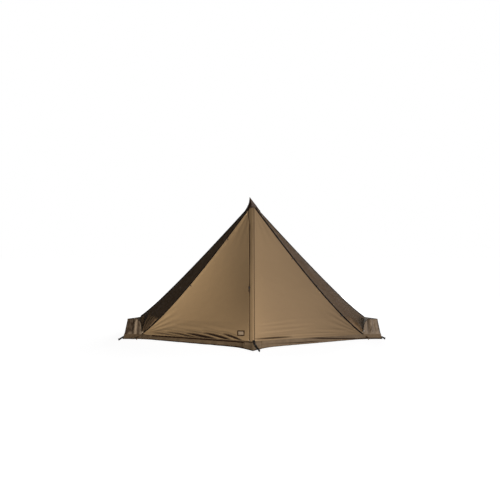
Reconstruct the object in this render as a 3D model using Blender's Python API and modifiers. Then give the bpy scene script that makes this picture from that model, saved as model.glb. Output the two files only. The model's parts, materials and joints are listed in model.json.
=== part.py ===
"""A one-pole camping tent, pitched with its doors zipped shut.

The pole stands on the origin, +Z is up and the doors look along -Y. Lengths are in metres.
Left and right are as seen from in front: the left side is the one with negative X.
"""
import math

import bmesh
import bpy
from mathutils import Matrix, Vector

# The pitched outline. PEAK_HEIGHT is where the planes of the cloth would meet, just over the pole.
PEAK_HEIGHT = 1.54
FRONT_REACH = 1.07
FRONT_SILL = 0.08
SIDE_SILL = 0.05
SEAM_FOOT_X = 1.26
SEAM_FOOT_FORWARD = 0.16
EAR_TOP_X = 1.418
EAR_HEIGHT = 0.228
EAR_FORWARD = 0.15
EAR_FOOT_X = 1.455
EAR_HEM_X = 1.468
EAR_LEAN = 0.01
CORNER_X = 1.407
REAR_REACH = 0.80
REAR_WALL_HEIGHT = 0.166
WALL_LEAN = 0.03
SKIRT_SPREAD = 0.05
SKIRT_SET_OUT = 0.01
HEM_LIFT = 0.002

# How far the taut seams are cut inwards of a straight line, and where along it
SEAM_SAG = 0.082
SEAM_SAG_SHARE = 0.76
HIP_SAG = 0.040
HIP_SAG_SHARE = 0.80
DOOR_HOLLOW = 0.012

# Cloth and tapes
CLOTH = 0.0012
TOUCH = 0.0003
SEAM_INSET = 0.0014
TAPE_WIDTH = 0.018
TAPE_THICKNESS = 0.0012
PLEATS = 3
PLEAT_HEIGHT = 0.007
PLEAT_REACH = 0.42
PLEAT_START_SHARE = 0.35
ROOF_COLUMNS = 12
EAR_PLEATS = 4
EAR_PLEAT_HEIGHT = 0.005
WALL_PUFF = 0.005  # how far a side wall bulges between its edges

# The front corner, which stays pegged when the doors open
CORNER_TAB_HALF = 0.09
CORNER_TAB_REACH = 0.19
FLARE_WIDTH = 0.252

# Doors: the fold line that each one swings on, and the cut at its top
FOLD_INSET = 0.140
DOOR_TOP_DROP = 0.26
DOOR_GAP = 0.0008

# The front ridge, measured across from its line: storm flap, coils and tapes
FLAP_RIGHT = 0.022
FLAP_LEFT = 0.0395
FLAP_THICKNESS = 0.0012
COIL_LINE = 0.043
COIL_WIDTH = 0.0022
ZIP_TAPE_WIDTH = 0.014
ZIP_TAPE_THICKNESS = 0.001
DOOR_FROM_COIL = 0.004
ZIP_FOOT = 0.024
FLAP_FOOT = 0.004
ZIP_TOP_GAP = 0.01

# Zip sliders and their pulls
UPPER_SLIDER_AT = 0.68
SLIDER_SPACING = 0.046
SLIDER_LENGTH = 0.016
SLIDER_REACH = 0.006
SLIDER_WING = 0.0025
SLIDER_WING_RISE = 0.00155
SLIDER_PLATE = 0.0019
SLIDER_LIFT = 0.0004
SLIDER_FLANGE = 0.0009
BAIL_LENGTH = 0.010
BAIL_WIDTH = 0.003
BAIL_OPENING = 0.0028
BAIL_BAR = 0.0012
PULL_WIDTH = 0.009
PULL_LENGTH = 0.024
PULL_THICKNESS = 0.0014
PULL_WINDOW = 0.0046
PULL_WINDOW_REACH = 0.0072

# The blank patch on the left door
PATCH_WIDTH = 0.090
PATCH_HEIGHT = 0.062
PATCH_ACROSS = 0.165
PATCH_ALONG = 0.125
PATCH_THICKNESS = 0.001

# Toggles beside the side seams: (side, height, +1 on the side roof or -1 on the door's fixed edge)
TOGGLES = {
    "left_upper": (-1, 1.135, -1),
    "left_lower": (-1, 0.610, -1),
    "right_upper": (1, 0.915, -1),
    "right_middle": (1, 0.595, 1),
    "right_lower": (1, 0.275, -1),
}
TOGGLE_LENGTH = 0.036
TOGGLE_DIAMETER = 0.008
TOGGLE_TAPER_SHARE = 0.4
TOGGLE_END_SHARE = 0.7
TOGGLE_HOLE = 0.0034
TOGGLE_FROM_SEAM = 0.026
CORD_DIAMETER = 0.0026
CORD_PAD_RADIUS = 0.006
CORD_PAD_THICKNESS = 0.001
CORD_KNOT_RADIUS = 0.003

# The pole
TUBE_DIAMETER = 0.019
TUBE_WALL = 0.001
SPIGOT_LENGTH = 0.06
FOOT_RADIUS = 0.015
FOOT_FLOOR = 0.005
FOOT_HEIGHT = 0.035
FOOT_SHOULDER = 0.012
FOOT_LIP = 0.0025
TIP_COLLAR = 0.005
TIP_STEM = 0.030
POLE_SECTIONS = ("pole_lower", "pole_middle", "pole_upper")

# The peak
RING_DEPTH = 0.030
CAP_DEPTH = 0.042
CAP_THICKNESS = 0.0012
HOOD_FRONT_DEPTH = 0.046
HOOD_SEAM_DEPTH = 0.054
HOOD_SIDE_DEPTH = 0.086
HOOD_RISE = 0.077
HOOD_LEAN = -0.035
HOOD_HOLLOW = 0.020
HOOD_CLOTH = 0.0012
TAPE_TOP_DEPTH = 0.100

# Pegs and their webbing loops
PEG_LENGTH = 0.180
PEG_DIAMETER = 0.007
PEG_HEAD_RADIUS = 0.008
PEG_HEAD_THICKNESS = 0.004
PEG_POINT = 0.021
HOLD_HEIGHT = 0.012
FRONT_PEG_AHEAD = 0.245
FRONT_PEG_ASIDE = 0.064
STRAP_ASIDE = 0.012
STRAP_SHARE = 0.72
LOOP_SHARE = 0.45
SEAM_PEG_REACH = (0.018, -0.085)
LEFT_EAR_PEG_REACH = (0.03, -0.165)
RIGHT_EAR_PEG_REACH = (0.03, -0.06)
REAR_PEG_REACH = (0.075, 0.045)
LOOP_BAND = 0.0018
LOOP_WIDTH = 0.014
LOOP_NOSE = 0.0045
BUCKLE_LENGTH = 0.014
BUCKLE_BAR = 0.003
BUCKLE_FROM_CLOTH = 0.035

FINISHES = {
    "coyote_cloth": ("8F7459", 0.85, 0.0),
    "black_tape": ("15130F", 0.75, 0.0),
    "black_webbing": ("181614", 0.70, 0.0),
    "brown_zip_tape": ("4A3A2A", 0.80, 0.0),
    "dark_acetal": ("2A211B", 0.45, 0.0),
    "dark_zinc": ("3A3432", 0.35, 0.9),
    "elastic_cord": ("1D1916", 0.80, 0.0),
    "patch_fabric": ("4B3726", 0.80, 0.0),
    "pole_aluminium": ("9A9CA0", 0.32, 1.0),
    "grey_rubber": ("2B2B2B", 0.90, 0.0),
    "peg_steel": ("7B7D80", 0.35, 1.0),
}


def linear(hex_colour):
    """Turn an sRGB hex colour into the linear values that a shader takes."""
    channels = [int(hex_colour[place:place + 2], 16) / 255 for place in (0, 2, 4)]
    return [c / 12.92 if c <= 0.04045 else ((c + 0.055) / 1.055) ** 2.4 for c in channels]


def finish_of(name):
    """The material of that name, made when it is first asked for."""
    if name not in bpy.data.materials:
        colour, roughness, metallic = FINISHES[name]
        made = bpy.data.materials.new(name)
        made.use_nodes = True
        shader = made.node_tree.nodes["Principled BSDF"]
        shader.inputs["Base Color"].default_value = (*linear(colour), 1.0)
        shader.inputs["Roughness"].default_value = roughness
        shader.inputs["Metallic"].default_value = metallic
    return bpy.data.materials[name]


def clear_scene():
    """Remove what a new file holds, and make the tent's two collections."""
    for obj in list(bpy.data.objects):
        bpy.data.objects.remove(obj)
    for name in ("one_pole_tent", "cutters"):
        made = bpy.data.collections.new(name)
        bpy.context.scene.collection.children.link(made)


def add_object(name, data, finish, carrier=None, place=None):
    """Put a mesh or curve in the tent's collection, with its place in the world."""
    obj = bpy.data.objects.new(name, data)
    bpy.data.collections["one_pole_tent"].objects.link(obj)
    data.materials.append(finish_of(finish))
    if place is not None:
        obj.matrix_world = place
    ride_on(obj, carrier)
    return obj


def ride_on(obj, carrier):
    """Parent an object to an empty that stands unturned, and keep its place in the world."""
    if carrier is not None:
        obj.parent = carrier
        obj.matrix_parent_inverse = Matrix.Translation(-Vector(carrier["stands_at"]))


def add_joint(name, position, carrier=None):
    """An empty on a joint's axis, which carries all that moves on it."""
    empty = bpy.data.objects.new(name, None)
    bpy.data.collections["one_pole_tent"].objects.link(empty)
    empty.empty_display_size = 0.03
    empty.location = position
    empty["stands_at"] = list(position)
    ride_on(empty, carrier)
    return empty


def add_sheet(name, surface, columns, rows, finish, reverse=False, thickness=CLOTH, carrier=None):
    """Cloth: a grid laid on surface(u, v), with its thickness growing inwards."""
    mesh = bmesh.new()
    bmesh.ops.create_grid(mesh, x_segments=columns, y_segments=rows, size=0.5)
    for vert in mesh.verts:
        vert.co = surface(vert.co.x + 0.5, vert.co.y + 0.5)
    if reverse:
        bmesh.ops.reverse_faces(mesh, faces=mesh.faces)
    data = bpy.data.meshes.new(name)
    mesh.to_mesh(data)
    mesh.free()
    data.shade_smooth()
    obj = add_object(name, data, finish, carrier)
    wall = obj.modifiers.new("thickness", "SOLIDIFY")
    wall.thickness = thickness
    wall.offset = -1.0
    wall.use_even_offset = True
    return obj


def add_turned(name, profile, finish, place=None, steps=20, ring=False, carrier=None):
    """A turned piece: (radius, height) points down its outer side, spun about Z."""
    data = bpy.data.meshes.new(name)
    edges = [(i, i + 1) for i in range(len(profile) - 1)]
    if ring:
        edges.append((len(profile) - 1, 0))
    data.from_pydata([(radius, 0.0, height) for radius, height in profile], edges, [])
    obj = add_object(name, data, finish, carrier, place)
    spin = obj.modifiers.new("spin", "SCREW")
    spin.steps = steps
    spin.render_steps = steps
    spin.use_merge_vertices = True
    spin.merge_threshold = 0.00001
    return obj


def add_outline(name, loops, thickness, finish, place, carrier=None):
    """A flat piece: one outline, any holes in it, and a thickness along the local Z axis."""
    data = bpy.data.curves.new(name, "CURVE")
    data.dimensions = "2D"
    data.fill_mode = "BOTH"
    data.extrude = thickness / 2
    for loop in loops:
        spline = data.splines.new("POLY")
        spline.points.add(len(loop) - 1)
        for point, (x, y) in zip(spline.points, loop):
            point.co = (x, y, 0.0, 1.0)
        spline.use_cyclic_u = True
    return add_object(name, data, finish, carrier, place)


def as_mesh(obj):
    """Swap a flat piece's curve for a mesh with welded caps, so that it can be joined or cut."""
    graph = bpy.context.evaluated_depsgraph_get()
    data = bpy.data.meshes.new_from_object(obj.evaluated_get(graph))
    mesh = bmesh.new()
    mesh.from_mesh(data)
    bmesh.ops.remove_doubles(mesh, verts=mesh.verts, dist=0.000001)
    bmesh.ops.recalc_face_normals(mesh, faces=mesh.faces)
    mesh.to_mesh(data)
    mesh.free()
    name, carrier, place = obj.name, obj.parent, obj.matrix_basis.copy()
    bpy.data.objects.remove(obj)
    swapped = bpy.data.objects.new(name, data)
    bpy.data.collections["one_pole_tent"].objects.link(swapped)
    swapped.matrix_world = place
    ride_on(swapped, carrier)
    return swapped


def join_or_cut(obj, other, operation, solver="EXACT"):
    """Join or cut a mesh object with a helper, which is kept out of the render."""
    step = obj.modifiers.new(operation.lower(), "BOOLEAN")
    step.operation = operation
    step.solver = solver
    step.object = other
    bpy.data.collections["one_pole_tent"].objects.unlink(other)
    bpy.data.collections["cutters"].objects.link(other)
    other.hide_render = True
    other.display_type = "WIRE"


def outwards(vector, point):
    """The unit vector, turned to point away from the middle of the tent."""
    vector = vector.normalized()
    return vector if vector.dot(point - Vector((0.0, 0.1, 0.3))) > 0 else -vector


def bend(start, end, sag, sag_at, t):
    """A seam that runs from start to end and is pulled off the straight by the vector sag."""
    middle = start.lerp(end, sag_at) + 2 * sag
    return start.lerp(middle, t).lerp(middle.lerp(end, t), t)


def between(a, b, share, inset_a, inset_b):
    """A point on the straight line from a to b that keeps clear of both ends."""
    span = (b - a).length
    return a.lerp(b, (inset_a + (span - inset_a - inset_b) * share) / span)


# Corner points that the panels share
PEAK = Vector((0.0, 0.0, PEAK_HEIGHT))
RIDGE_FOOT = Vector((0.0, -FRONT_REACH, FRONT_SILL))
UP_RIDGE = (PEAK - RIDGE_FOOT).normalized()
RIDGE_LENGTH = (PEAK - RIDGE_FOOT).length
DOOR_TOP = RIDGE_LENGTH - DOOR_TOP_DROP
ZIP_TOP = DOOR_TOP - ZIP_TOP_GAP

# How the rows of the walls and side skirts are shared out, and where panels stop short of a sharp corner
EAR_SHARE = 0.25
SEAM_END = 0.995
WALL_START = 0.014
WALL_END = 0.996
VALLEY_GAP = 0.0014
SEAM_TAPE_END = 0.955
HIP_TAPE_END = 0.985
TUCK = TOUCH + 0.6 * CLOTH


def seam_foot(side):
    """Where a side seam meets the ground."""
    return Vector((side * SEAM_FOOT_X, -SEAM_FOOT_FORWARD, SIDE_SILL))


def rear_corner(side):
    """The top of a rear corner, where a hip ends."""
    return Vector((side * CORNER_X, REAR_REACH, REAR_WALL_HEIGHT))


def ear_top(side):
    """The upper corner of the pulled-out front end of a side wall."""
    return Vector((side * EAR_TOP_X, -EAR_FORWARD, EAR_HEIGHT))


def across_door(side):
    """The unit vector in a door's plane, square to the ridge, pointing away from it."""
    span = seam_foot(side) - RIDGE_FOOT
    return (span - span.dot(UP_RIDGE) * UP_RIDGE).normalized()


def door_normal(side):
    """The unit vector out of a door's plane."""
    return outwards(across_door(side).cross(UP_RIDGE), RIDGE_FOOT)


def door_point(side, across, along, lift=0.0):
    """A point by its distances across from the ridge, up along it, and out of the door's plane."""
    return RIDGE_FOOT + across * across_door(side) + along * UP_RIDGE + lift * door_normal(side)


def door_frame(side, across, along, lift=0.0):
    """A door's plane as a matrix: X across from the ridge, Z up along it, Y square to both."""
    x, z = across_door(side), UP_RIDGE
    y = z.cross(x)
    turn = Matrix((x, y, z)).transposed().to_4x4()
    return Matrix.Translation(door_point(side, across, along, lift)) @ turn


def lift_sign(side):
    """Whether a door frame's Y axis points out of the tent or into it."""
    return 1 if UP_RIDGE.cross(across_door(side)).dot(door_normal(side)) > 0 else -1


SEAM_SPAN = seam_foot(1) - RIDGE_FOOT
FOOT_ACROSS = SEAM_SPAN.dot(across_door(1))
FOOT_ALONG = SEAM_SPAN.dot(UP_RIDGE)
SILL_SLOPE = FOOT_ALONG / FOOT_ACROSS
CHORD = Vector((FOOT_ACROSS, FOOT_ALONG - RIDGE_LENGTH))
CHORD_SIDE = Vector((-CHORD.y, CHORD.x)).normalized()


def fold_at(along, extra=0.0):
    """How far across from the ridge a door's fold line lies at that distance up the ridge."""
    inset = FOLD_INSET - extra
    start = Vector((0.0, RIDGE_LENGTH)) - inset * CHORD_SIDE
    return start.x + (along - start.y) * CHORD.x / CHORD.y


def fold_foot_along(extra=0.0):
    """Where the fold line meets the door's lower edge, as a distance up the ridge."""
    base = fold_at(0.0, extra)
    slope = CHORD.x / CHORD.y
    return SILL_SLOPE * base / (1 - SILL_SLOPE * slope)


def seam_flat(t):
    """The side seam in a door's plane, from the peak to its foot, as (across, along)."""
    top = Vector((0.0, RIDGE_LENGTH))
    return bend(top, top + CHORD, -SEAM_SAG * CHORD_SIDE, SEAM_SAG_SHARE, t)


def seam(side, t):
    """The side seam in space, from the peak at 0 to its foot at 1."""
    across, along = seam_flat(t)
    return door_point(side, across, along)


def hip(side, t):
    """The hip from the peak at 0 to the rear corner at 1, pulled inwards as taut cloth is."""
    end = rear_corner(side)
    roof = (seam_foot(side) - PEAK).cross(end - PEAK)
    rear = (end - PEAK).cross(Vector((1.0, 0.0, 0.0)))
    middle = PEAK.lerp(end, 0.5)
    sag = -HIP_SAG * (outwards(roof, middle) + outwards(rear, middle)).normalized()
    return bend(PEAK, end, sag, HIP_SAG_SHARE, t)


def at_depth(line, side, depth):
    """The place along a seam or hip, from 0 to 1, that lies this far below the peak."""
    low, high = 0.0, 1.0
    for _ in range(30):
        middle = (low + high) / 2
        if line(side, middle).z > PEAK_HEIGHT - depth:
            low = middle
        else:
            high = middle
    return low


def past_ear(start, ear, corner, t):
    """A point on the bent line from the seam foot to the ear and on to the rear corner."""
    if t < EAR_SHARE:
        return start.lerp(ear, t / EAR_SHARE)
    return ear.lerp(corner, (t - EAR_SHARE) / (1 - EAR_SHARE))


def sill(side, t):
    """The lower edge of the walls, from the seam foot at 0, past the ear, to the rear corner at 1."""
    start = seam_foot(side)
    ear = Vector((side * EAR_FOOT_X, -EAR_FORWARD - EAR_LEAN, SIDE_SILL))
    corner = Vector((side * (CORNER_X + WALL_LEAN), REAR_REACH + WALL_LEAN, SIDE_SILL))
    return past_ear(start, ear, corner, t)


def wall_top(side, t):
    """The upper edge of a side wall, over the same stretch as its lower edge."""
    return past_ear(seam_foot(side), ear_top(side), rear_corner(side), t)


def roof_normal(side):
    """The unit vector out of a side roof."""
    span = (seam_foot(side) - PEAK).cross(rear_corner(side) - PEAK)
    return outwards(span, rear_corner(side))


def pleat(point, side, share):
    """How far cloth stands in or out along the pleats that fan from the seam's foot."""
    away = (point - seam_foot(side)).length / PLEAT_REACH
    fade = max(0.0, 1 - away) * min(1.0, away / PLEAT_START_SHARE)
    return PLEAT_HEIGHT * fade * math.sin(math.pi * share) * math.cos(2 * math.pi * PLEATS * share)


def valley(side, t):
    """The crease where the side roof meets the wall, bent only where the roof's columns end."""
    column = min(ROOF_COLUMNS - 1, int(t * ROOF_COLUMNS))
    ends = []
    for share in (column / ROOF_COLUMNS, (column + 1) / ROOF_COLUMNS):
        point = between(seam_foot(side), rear_corner(side), share, SEAM_INSET, SEAM_INSET)
        ends.append(point + pleat(point, side, share) * roof_normal(side))
    return ends[0].lerp(ends[1], t * ROOF_COLUMNS - column)


def hem(side, t):
    """The skirt's edge on the ground, over the same stretch as the walls' lower edge."""
    start_x = SEAM_FOOT_X + SKIRT_SET_OUT
    start = Vector((side * start_x, -SEAM_FOOT_FORWARD - SKIRT_SPREAD, HEM_LIFT))
    ear = Vector((side * EAR_HEM_X, -EAR_FORWARD - SKIRT_SPREAD, HEM_LIFT))
    reach = REAR_REACH + WALL_LEAN + SKIRT_SPREAD
    corner = Vector((side * (CORNER_X + WALL_LEAN + SKIRT_SPREAD), reach, HEM_LIFT))
    return past_ear(start, ear, corner, t)


def along_wall(column, first, ear_columns, side_columns):
    """Where a column of a wall or skirt lies, with one column exactly on the ear's corner."""
    if column < ear_columns:
        return first + (EAR_SHARE - first) * column / ear_columns
    return EAR_SHARE + (WALL_END - EAR_SHARE) * (column - ear_columns) / side_columns


def side_name(side):
    """The word for a side, as a viewer in front of the tent would say it."""
    return "left" if side < 0 else "right"


def door_hollow(u, v):
    """How far a door's cloth is drawn in, deepest in the middle of its width and a third of its height."""
    down = v * (1 - v) ** 2 / (4 / 27)
    return DOOR_HOLLOW * math.sin(math.pi * u) ** 2 * down


def door_surface(side, start, top):
    """The cloth of a door, from its ridge edge to its fold line, hollowed a little by tension."""
    foot = fold_foot_along()

    def surface(u, v):
        ridge = Vector((start, start * SILL_SLOPE + v * (top - start * SILL_SLOPE)))
        along = foot + v * (top - foot)
        fold = Vector((fold_at(along) - DOOR_GAP / 2, along))
        across, along = ridge.lerp(fold, u)
        return door_point(side, across, along, -door_hollow(u, v))

    return surface


def add_door(side, carrier):
    """A door's cloth. The left one starts behind its coil, the right one at the ridge."""
    start = SEAM_INSET if side > 0 else COIL_LINE + DOOR_FROM_COIL
    name = side_name(side) + "_door"
    surface = door_surface(side, start, DOOR_TOP)
    add_sheet(name, surface, 8, 10, "coyote_cloth", side < 0, carrier=carrier)


def add_door_edge(side):
    """The fixed edge of the door cloth: a strip by the seam, and the piece over the door."""
    top_t = at_depth(seam, side, RING_DEPTH)
    foot = fold_foot_along(-DOOR_GAP)
    cut = DOOR_TOP + DOOR_GAP
    ring = RIDGE_LENGTH - RING_DEPTH / UP_RIDGE.z
    loop = [(SEAM_INSET, ring), (SEAM_INSET, cut), (fold_at(cut) + DOOR_GAP / 2, cut)]
    loop.append((fold_at(foot) + DOOR_GAP / 2, foot))
    steps = 16
    for step in range(steps + 1):
        t = SEAM_END + (top_t - SEAM_END) * step / steps
        across, along = seam_flat(t) - SEAM_INSET * CHORD_SIDE
        loop.append((across, along))
    place = door_frame(side, 0.0, 0.0, -CLOTH / 2) @ Matrix.Rotation(math.pi / 2, 4, "X")
    add_outline(side_name(side) + "_door_edge", [loop], CLOTH, "coyote_cloth", place)


def door_skirt_top(side, across):
    """The line that a door's skirt hangs from."""
    return door_point(side, across, across * SILL_SLOPE) - Vector((0.0, 0.0, TUCK))


def flare(point):
    """How far forward the skirt is pulled near the front corner."""
    near = max(0.0, 1 - abs(point.x) / FLARE_WIDTH)
    return Vector((0.0, -CORNER_TAB_REACH * near * near, 0.0))


# The fold line leans outwards as it goes down, and the skirt's end follows it.
SKIRT_DRIFT = SEAM_FOOT_X / (PEAK_HEIGHT - SIDE_SILL) - 0.01


def add_door_skirt(side, carrier):
    """The strip of cloth that hangs from a door's lower edge to the ground."""
    first = (CORNER_TAB_HALF + DOOR_GAP) / abs(across_door(side).x)
    last = fold_at(fold_foot_along()) - DOOR_GAP / 2

    def surface(u, v):
        top = door_skirt_top(side, first + u * (last - first))
        drop = u * SKIRT_DRIFT * (top.z - HEM_LIFT)
        low = Vector((top.x + side * drop, top.y, HEM_LIFT)) + flare(top)
        return low.lerp(top, v)

    name = side_name(side) + "_door_skirt"
    add_sheet(name, surface, 20, 2, "coyote_cloth", side < 0, carrier=carrier)


def corner_tab_point(x, rise):
    """A point on the front corner's cloth, from its hem at rise 0 to the doors' lower edge at 1."""
    side = 1 if x > 0 else -1
    top = door_skirt_top(side, abs(x) / abs(across_door(side).x))
    low = Vector((x, top.y, HEM_LIFT)) + flare(Vector((x, 0.0, 0.0)))
    return low.lerp(top, rise)


def add_corner_tab():
    """The front corner of the skirt, which the strap holds to its peg."""

    def surface(u, v):
        return corner_tab_point((2 * u - 1) * CORNER_TAB_HALF, v)

    add_sheet("front_corner_tab", surface, 12, 3, "coyote_cloth")


def add_side_roof(side):
    """The roof panel between a side seam and a hip, pleated where it runs down to the seam's foot."""
    seam_top = at_depth(seam, side, RING_DEPTH)
    hip_top = at_depth(hip, side, RING_DEPTH)
    normal = roof_normal(side)

    def surface(u, v):
        down = 1 - v
        a = seam(side, seam_top + (1 - seam_top) * down)
        b = hip(side, hip_top + (1 - hip_top) * down)
        point = between(a, b, u, SEAM_INSET, SEAM_INSET)
        return point + pleat(point, side, u) * normal

    name = side_name(side) + "_side_roof"
    add_sheet(name, surface, ROOF_COLUMNS, 16, "coyote_cloth", side < 0)


def add_side_wall(side):
    """The low wall: pleated ear in front, upright side, and the shelf that turns in at its top."""
    ear_columns, side_columns = 4 * EAR_PLEATS, 10

    def surface(u, v):
        t = along_wall(u * (ear_columns + side_columns), WALL_START, ear_columns, side_columns)
        low, top, back = sill(side, t), wall_top(side, t), valley(side, t)
        low = low + Vector((0.0, 0.0, 2 * TOUCH))
        back = back + (top - back).normalized() * min(VALLEY_GAP, (top - back).length / 2)
        point = low.lerp(top, 2 * v) if v < 0.5 else top.lerp(back, 2 * v - 1)
        share = t / EAR_SHARE
        if share < 1:
            fold = math.sin(math.pi * v) * math.sin(math.pi * share)
            wave = math.sin(2 * math.pi * EAR_PLEATS * share)
            return point + Vector((0.0, -EAR_PLEAT_HEIGHT * fold * wave, 0.0))
        past = math.sin(math.pi * (t - EAR_SHARE) / (1 - EAR_SHARE))
        puff = WALL_PUFF * abs(math.sin(2 * math.pi * v)) * past
        return point + (Vector((side * puff, 0.0, 0.0)) if v < 0.5 else Vector((0.0, 0.0, puff)))

    name = side_name(side) + "_side_wall"
    add_sheet(name, surface, ear_columns + side_columns, 4, "coyote_cloth", side < 0)


def add_side_skirt(side):
    """The skirt from a door's fold line, round the ear, to the rear corner."""
    foot = fold_foot_along(-DOOR_GAP)
    start = door_point(side, fold_at(foot) + DOOR_GAP, foot)
    drift = SKIRT_DRIFT * (SIDE_SILL + HEM_LIFT)
    first_columns, ear_columns, side_columns = 3, 8, 10
    columns = first_columns + ear_columns + side_columns

    def surface(u, v):
        column = u * columns
        if column < first_columns:
            share = column / first_columns
            low = Vector((start.x + side * drift, start.y - HEM_LIFT, HEM_LIFT))
            low = low.lerp(hem(side, 0.0), share)
            top = start.lerp(seam_foot(side), share)
        else:
            t = along_wall(column - first_columns, 0.0, ear_columns, side_columns)
            low, top = hem(side, t), sill(side, t)
        top = top - Vector((0.0, 0.0, TOUCH))
        return low.lerp(top, v)

    name = side_name(side) + "_side_skirt"
    add_sheet(name, surface, columns, 2, "coyote_cloth", side < 0)


def add_rear():
    """The rear roof, the rear wall under it and the rear skirt."""
    top = at_depth(hip, 1, RING_DEPTH)

    def roof(u, v):
        t = top + (1 - top) * (1 - v)
        return between(hip(1, t), hip(-1, t), u, SEAM_INSET, SEAM_INSET)

    def wall(u, v):
        low = between(sill(1, 1.0), sill(-1, 1.0), u, SEAM_INSET, SEAM_INSET)
        high = between(rear_corner(1), rear_corner(-1), u, SEAM_INSET, SEAM_INSET)
        low = low + Vector((0.0, 0.0, 2 * TOUCH))
        return low.lerp(high - Vector((0.0, 0.0, TUCK)), v)

    def skirt(u, v):
        low = between(hem(1, 1.0), hem(-1, 1.0), u, SEAM_INSET, SEAM_INSET)
        high = between(sill(1, 1.0), sill(-1, 1.0), u, SEAM_INSET, SEAM_INSET)
        return low.lerp(high - Vector((0.0, 0.0, TOUCH)), v)

    add_sheet("rear_roof", roof, 6, 14, "coyote_cloth")
    add_sheet("rear_wall", wall, 10, 2, "coyote_cloth")
    add_sheet("rear_skirt", skirt, 10, 1, "coyote_cloth")


def add_edge_tape(name, line, side, first, last, way_a, way_b):
    """A tape folded over a seam: way_a and way_b give the panel directions on its two sides."""

    def surface(u, v):
        t = last + (first - last) * v
        point = line(side, t)
        run = line(side, min(1.0, t + 0.01)) - line(side, t - 0.01)
        a, b = way_a(t), way_b(t)
        lift_a, lift_b = outwards(run.cross(a), point), outwards(run.cross(b), point)
        lift = TOUCH + TAPE_THICKNESS
        if u < 0.5:
            return point + a * TAPE_WIDTH * (0.5 - u) + lift_a * lift
        if u > 0.5:
            return point + b * TAPE_WIDTH * (u - 0.5) + lift_b * lift
        middle = (lift_a + lift_b).normalized()
        return point + middle * lift / middle.dot(lift_a)

    add_sheet(name, surface, 2, 14, "black_tape", side < 0, TAPE_THICKNESS)


def add_tapes(side):
    """The black tapes over a side seam and a hip."""
    seam_first = at_depth(seam, side, TAPE_TOP_DEPTH)
    hip_first = at_depth(hip, side, TAPE_TOP_DEPTH)

    def to_ridge(t):
        return -(across_door(side) * CHORD_SIDE.x + UP_RIDGE * CHORD_SIDE.y)

    def to_hip(t):
        return (hip(side, t) - seam(side, t)).normalized()

    def to_seam(t):
        return (seam(side, t) - hip(side, t)).normalized()

    def to_rear(t):
        return Vector((-side, 0.0, 0.0))

    name = side_name(side)
    add_edge_tape(name + "_seam_tape", seam, side, seam_first, SEAM_TAPE_END, to_ridge, to_hip)
    add_edge_tape(name + "_hip_tape", hip, side, hip_first, HIP_TAPE_END, to_seam, to_rear)


# A point lifted evenly off both doors at the ridge moves along the mean of their normals.
MEAN_NORMAL = (door_normal(1) + door_normal(-1)).normalized()
OFF_RIDGE = MEAN_NORMAL / MEAN_NORMAL.dot(door_normal(1))


def add_storm_flap(carrier):
    """The band folded over the front ridge, which covers the zip's right tape."""

    def surface(u, v):
        share = abs(2 * u - 1)
        across = share * (FLAP_LEFT if u < 0.5 else FLAP_RIGHT)
        foot = FLAP_FOOT + across * SILL_SLOPE
        along = foot + v * (ZIP_TOP - foot)
        lift = TOUCH + FLAP_THICKNESS
        if u < 0.5:
            return door_point(-1, across, along, lift * (1 - share))
        if u > 0.5:
            return door_point(1, across, along, lift)
        return door_point(1, 0.0, along) + lift * OFF_RIDGE

    add_sheet("storm_flap", surface, 2, 12, "coyote_cloth", thickness=FLAP_THICKNESS, carrier=carrier)


def add_zip_half(name, side_of_coil, carrier):
    """Half a zip: a coil at the parting line, on the edge of a tape that lies under the cloth."""
    edge = side_of_coil * TOUCH / 2
    back = edge + side_of_coil * COIL_WIDTH
    far = edge + side_of_coil * ZIP_TAPE_WIDTH
    top, sole = 0.0, -CLOTH - TOUCH - ZIP_TAPE_THICKNESS
    face = -CLOTH - TOUCH
    loop = [(edge, top), (back, top), (back, face), (far, face), (far, sole), (edge, sole)]
    sign = lift_sign(-1)
    loop = [(x, sign * y) for x, y in loop]
    length = ZIP_TOP - ZIP_FOOT
    place = door_frame(-1, COIL_LINE, ZIP_FOOT + length / 2)
    add_outline(name, [loop], length, "brown_zip_tape", place, carrier)


SLIDER_MIDDLE = (SLIDER_REACH - SLIDER_WING) / 2
PULL_LIFT = SLIDER_LIFT + SLIDER_PLATE + BAIL_OPENING / 2


def add_slider(name, along, carrier):
    """A zip slider with the bail that its pull swings in.

    It holds the left coil. Over the right one it only has a wing, hollow underneath, so that
    the right door can swing away from it.
    """
    place = door_frame(-1, COIL_LINE, along)
    sign = lift_sign(-1)
    low, top = SLIDER_LIFT, SLIDER_LIFT + SLIDER_PLATE
    inner = COIL_WIDTH + TOUCH / 2 + TOUCH
    outer = inner + SLIDER_FLANGE
    foot = -CLOTH
    loop = [(0.0, low), (-SLIDER_WING, low + SLIDER_WING_RISE), (-SLIDER_WING, top)]
    loop += [(SLIDER_REACH, top), (SLIDER_REACH, low)]
    loop += [(outer, low), (outer, foot), (inner, foot), (inner, low)]
    loop = [(x, sign * y) for x, y in loop]
    body = as_mesh(add_outline(name, [loop], SLIDER_LENGTH, "dark_zinc", place, carrier))
    reach, rise = BAIL_LENGTH / 2, top + BAIL_OPENING
    leg = reach - 1.5 * BAIL_BAR
    sunk = top - SLIDER_PLATE / 2
    arch = [(-reach, sunk), (-reach, rise + BAIL_BAR), (reach, rise + BAIL_BAR), (reach, sunk)]
    arch += [(leg, sunk), (leg, rise), (-leg, rise), (-leg, sunk)]
    turn = Matrix(((0, 0, 1, 0), (0, sign, 0, 0), (-sign, 0, 0, 0), (0, 0, 0, 1)))
    middle = place @ Matrix.Translation((SLIDER_MIDDLE, 0.0, 0.0))
    flat_bail = add_outline(name + "_bail", [arch], BAIL_WIDTH, "dark_zinc", middle @ turn, carrier)
    bail = as_mesh(flat_bail)
    join_or_cut(body, bail, "UNION", "MANIFOLD")


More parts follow.
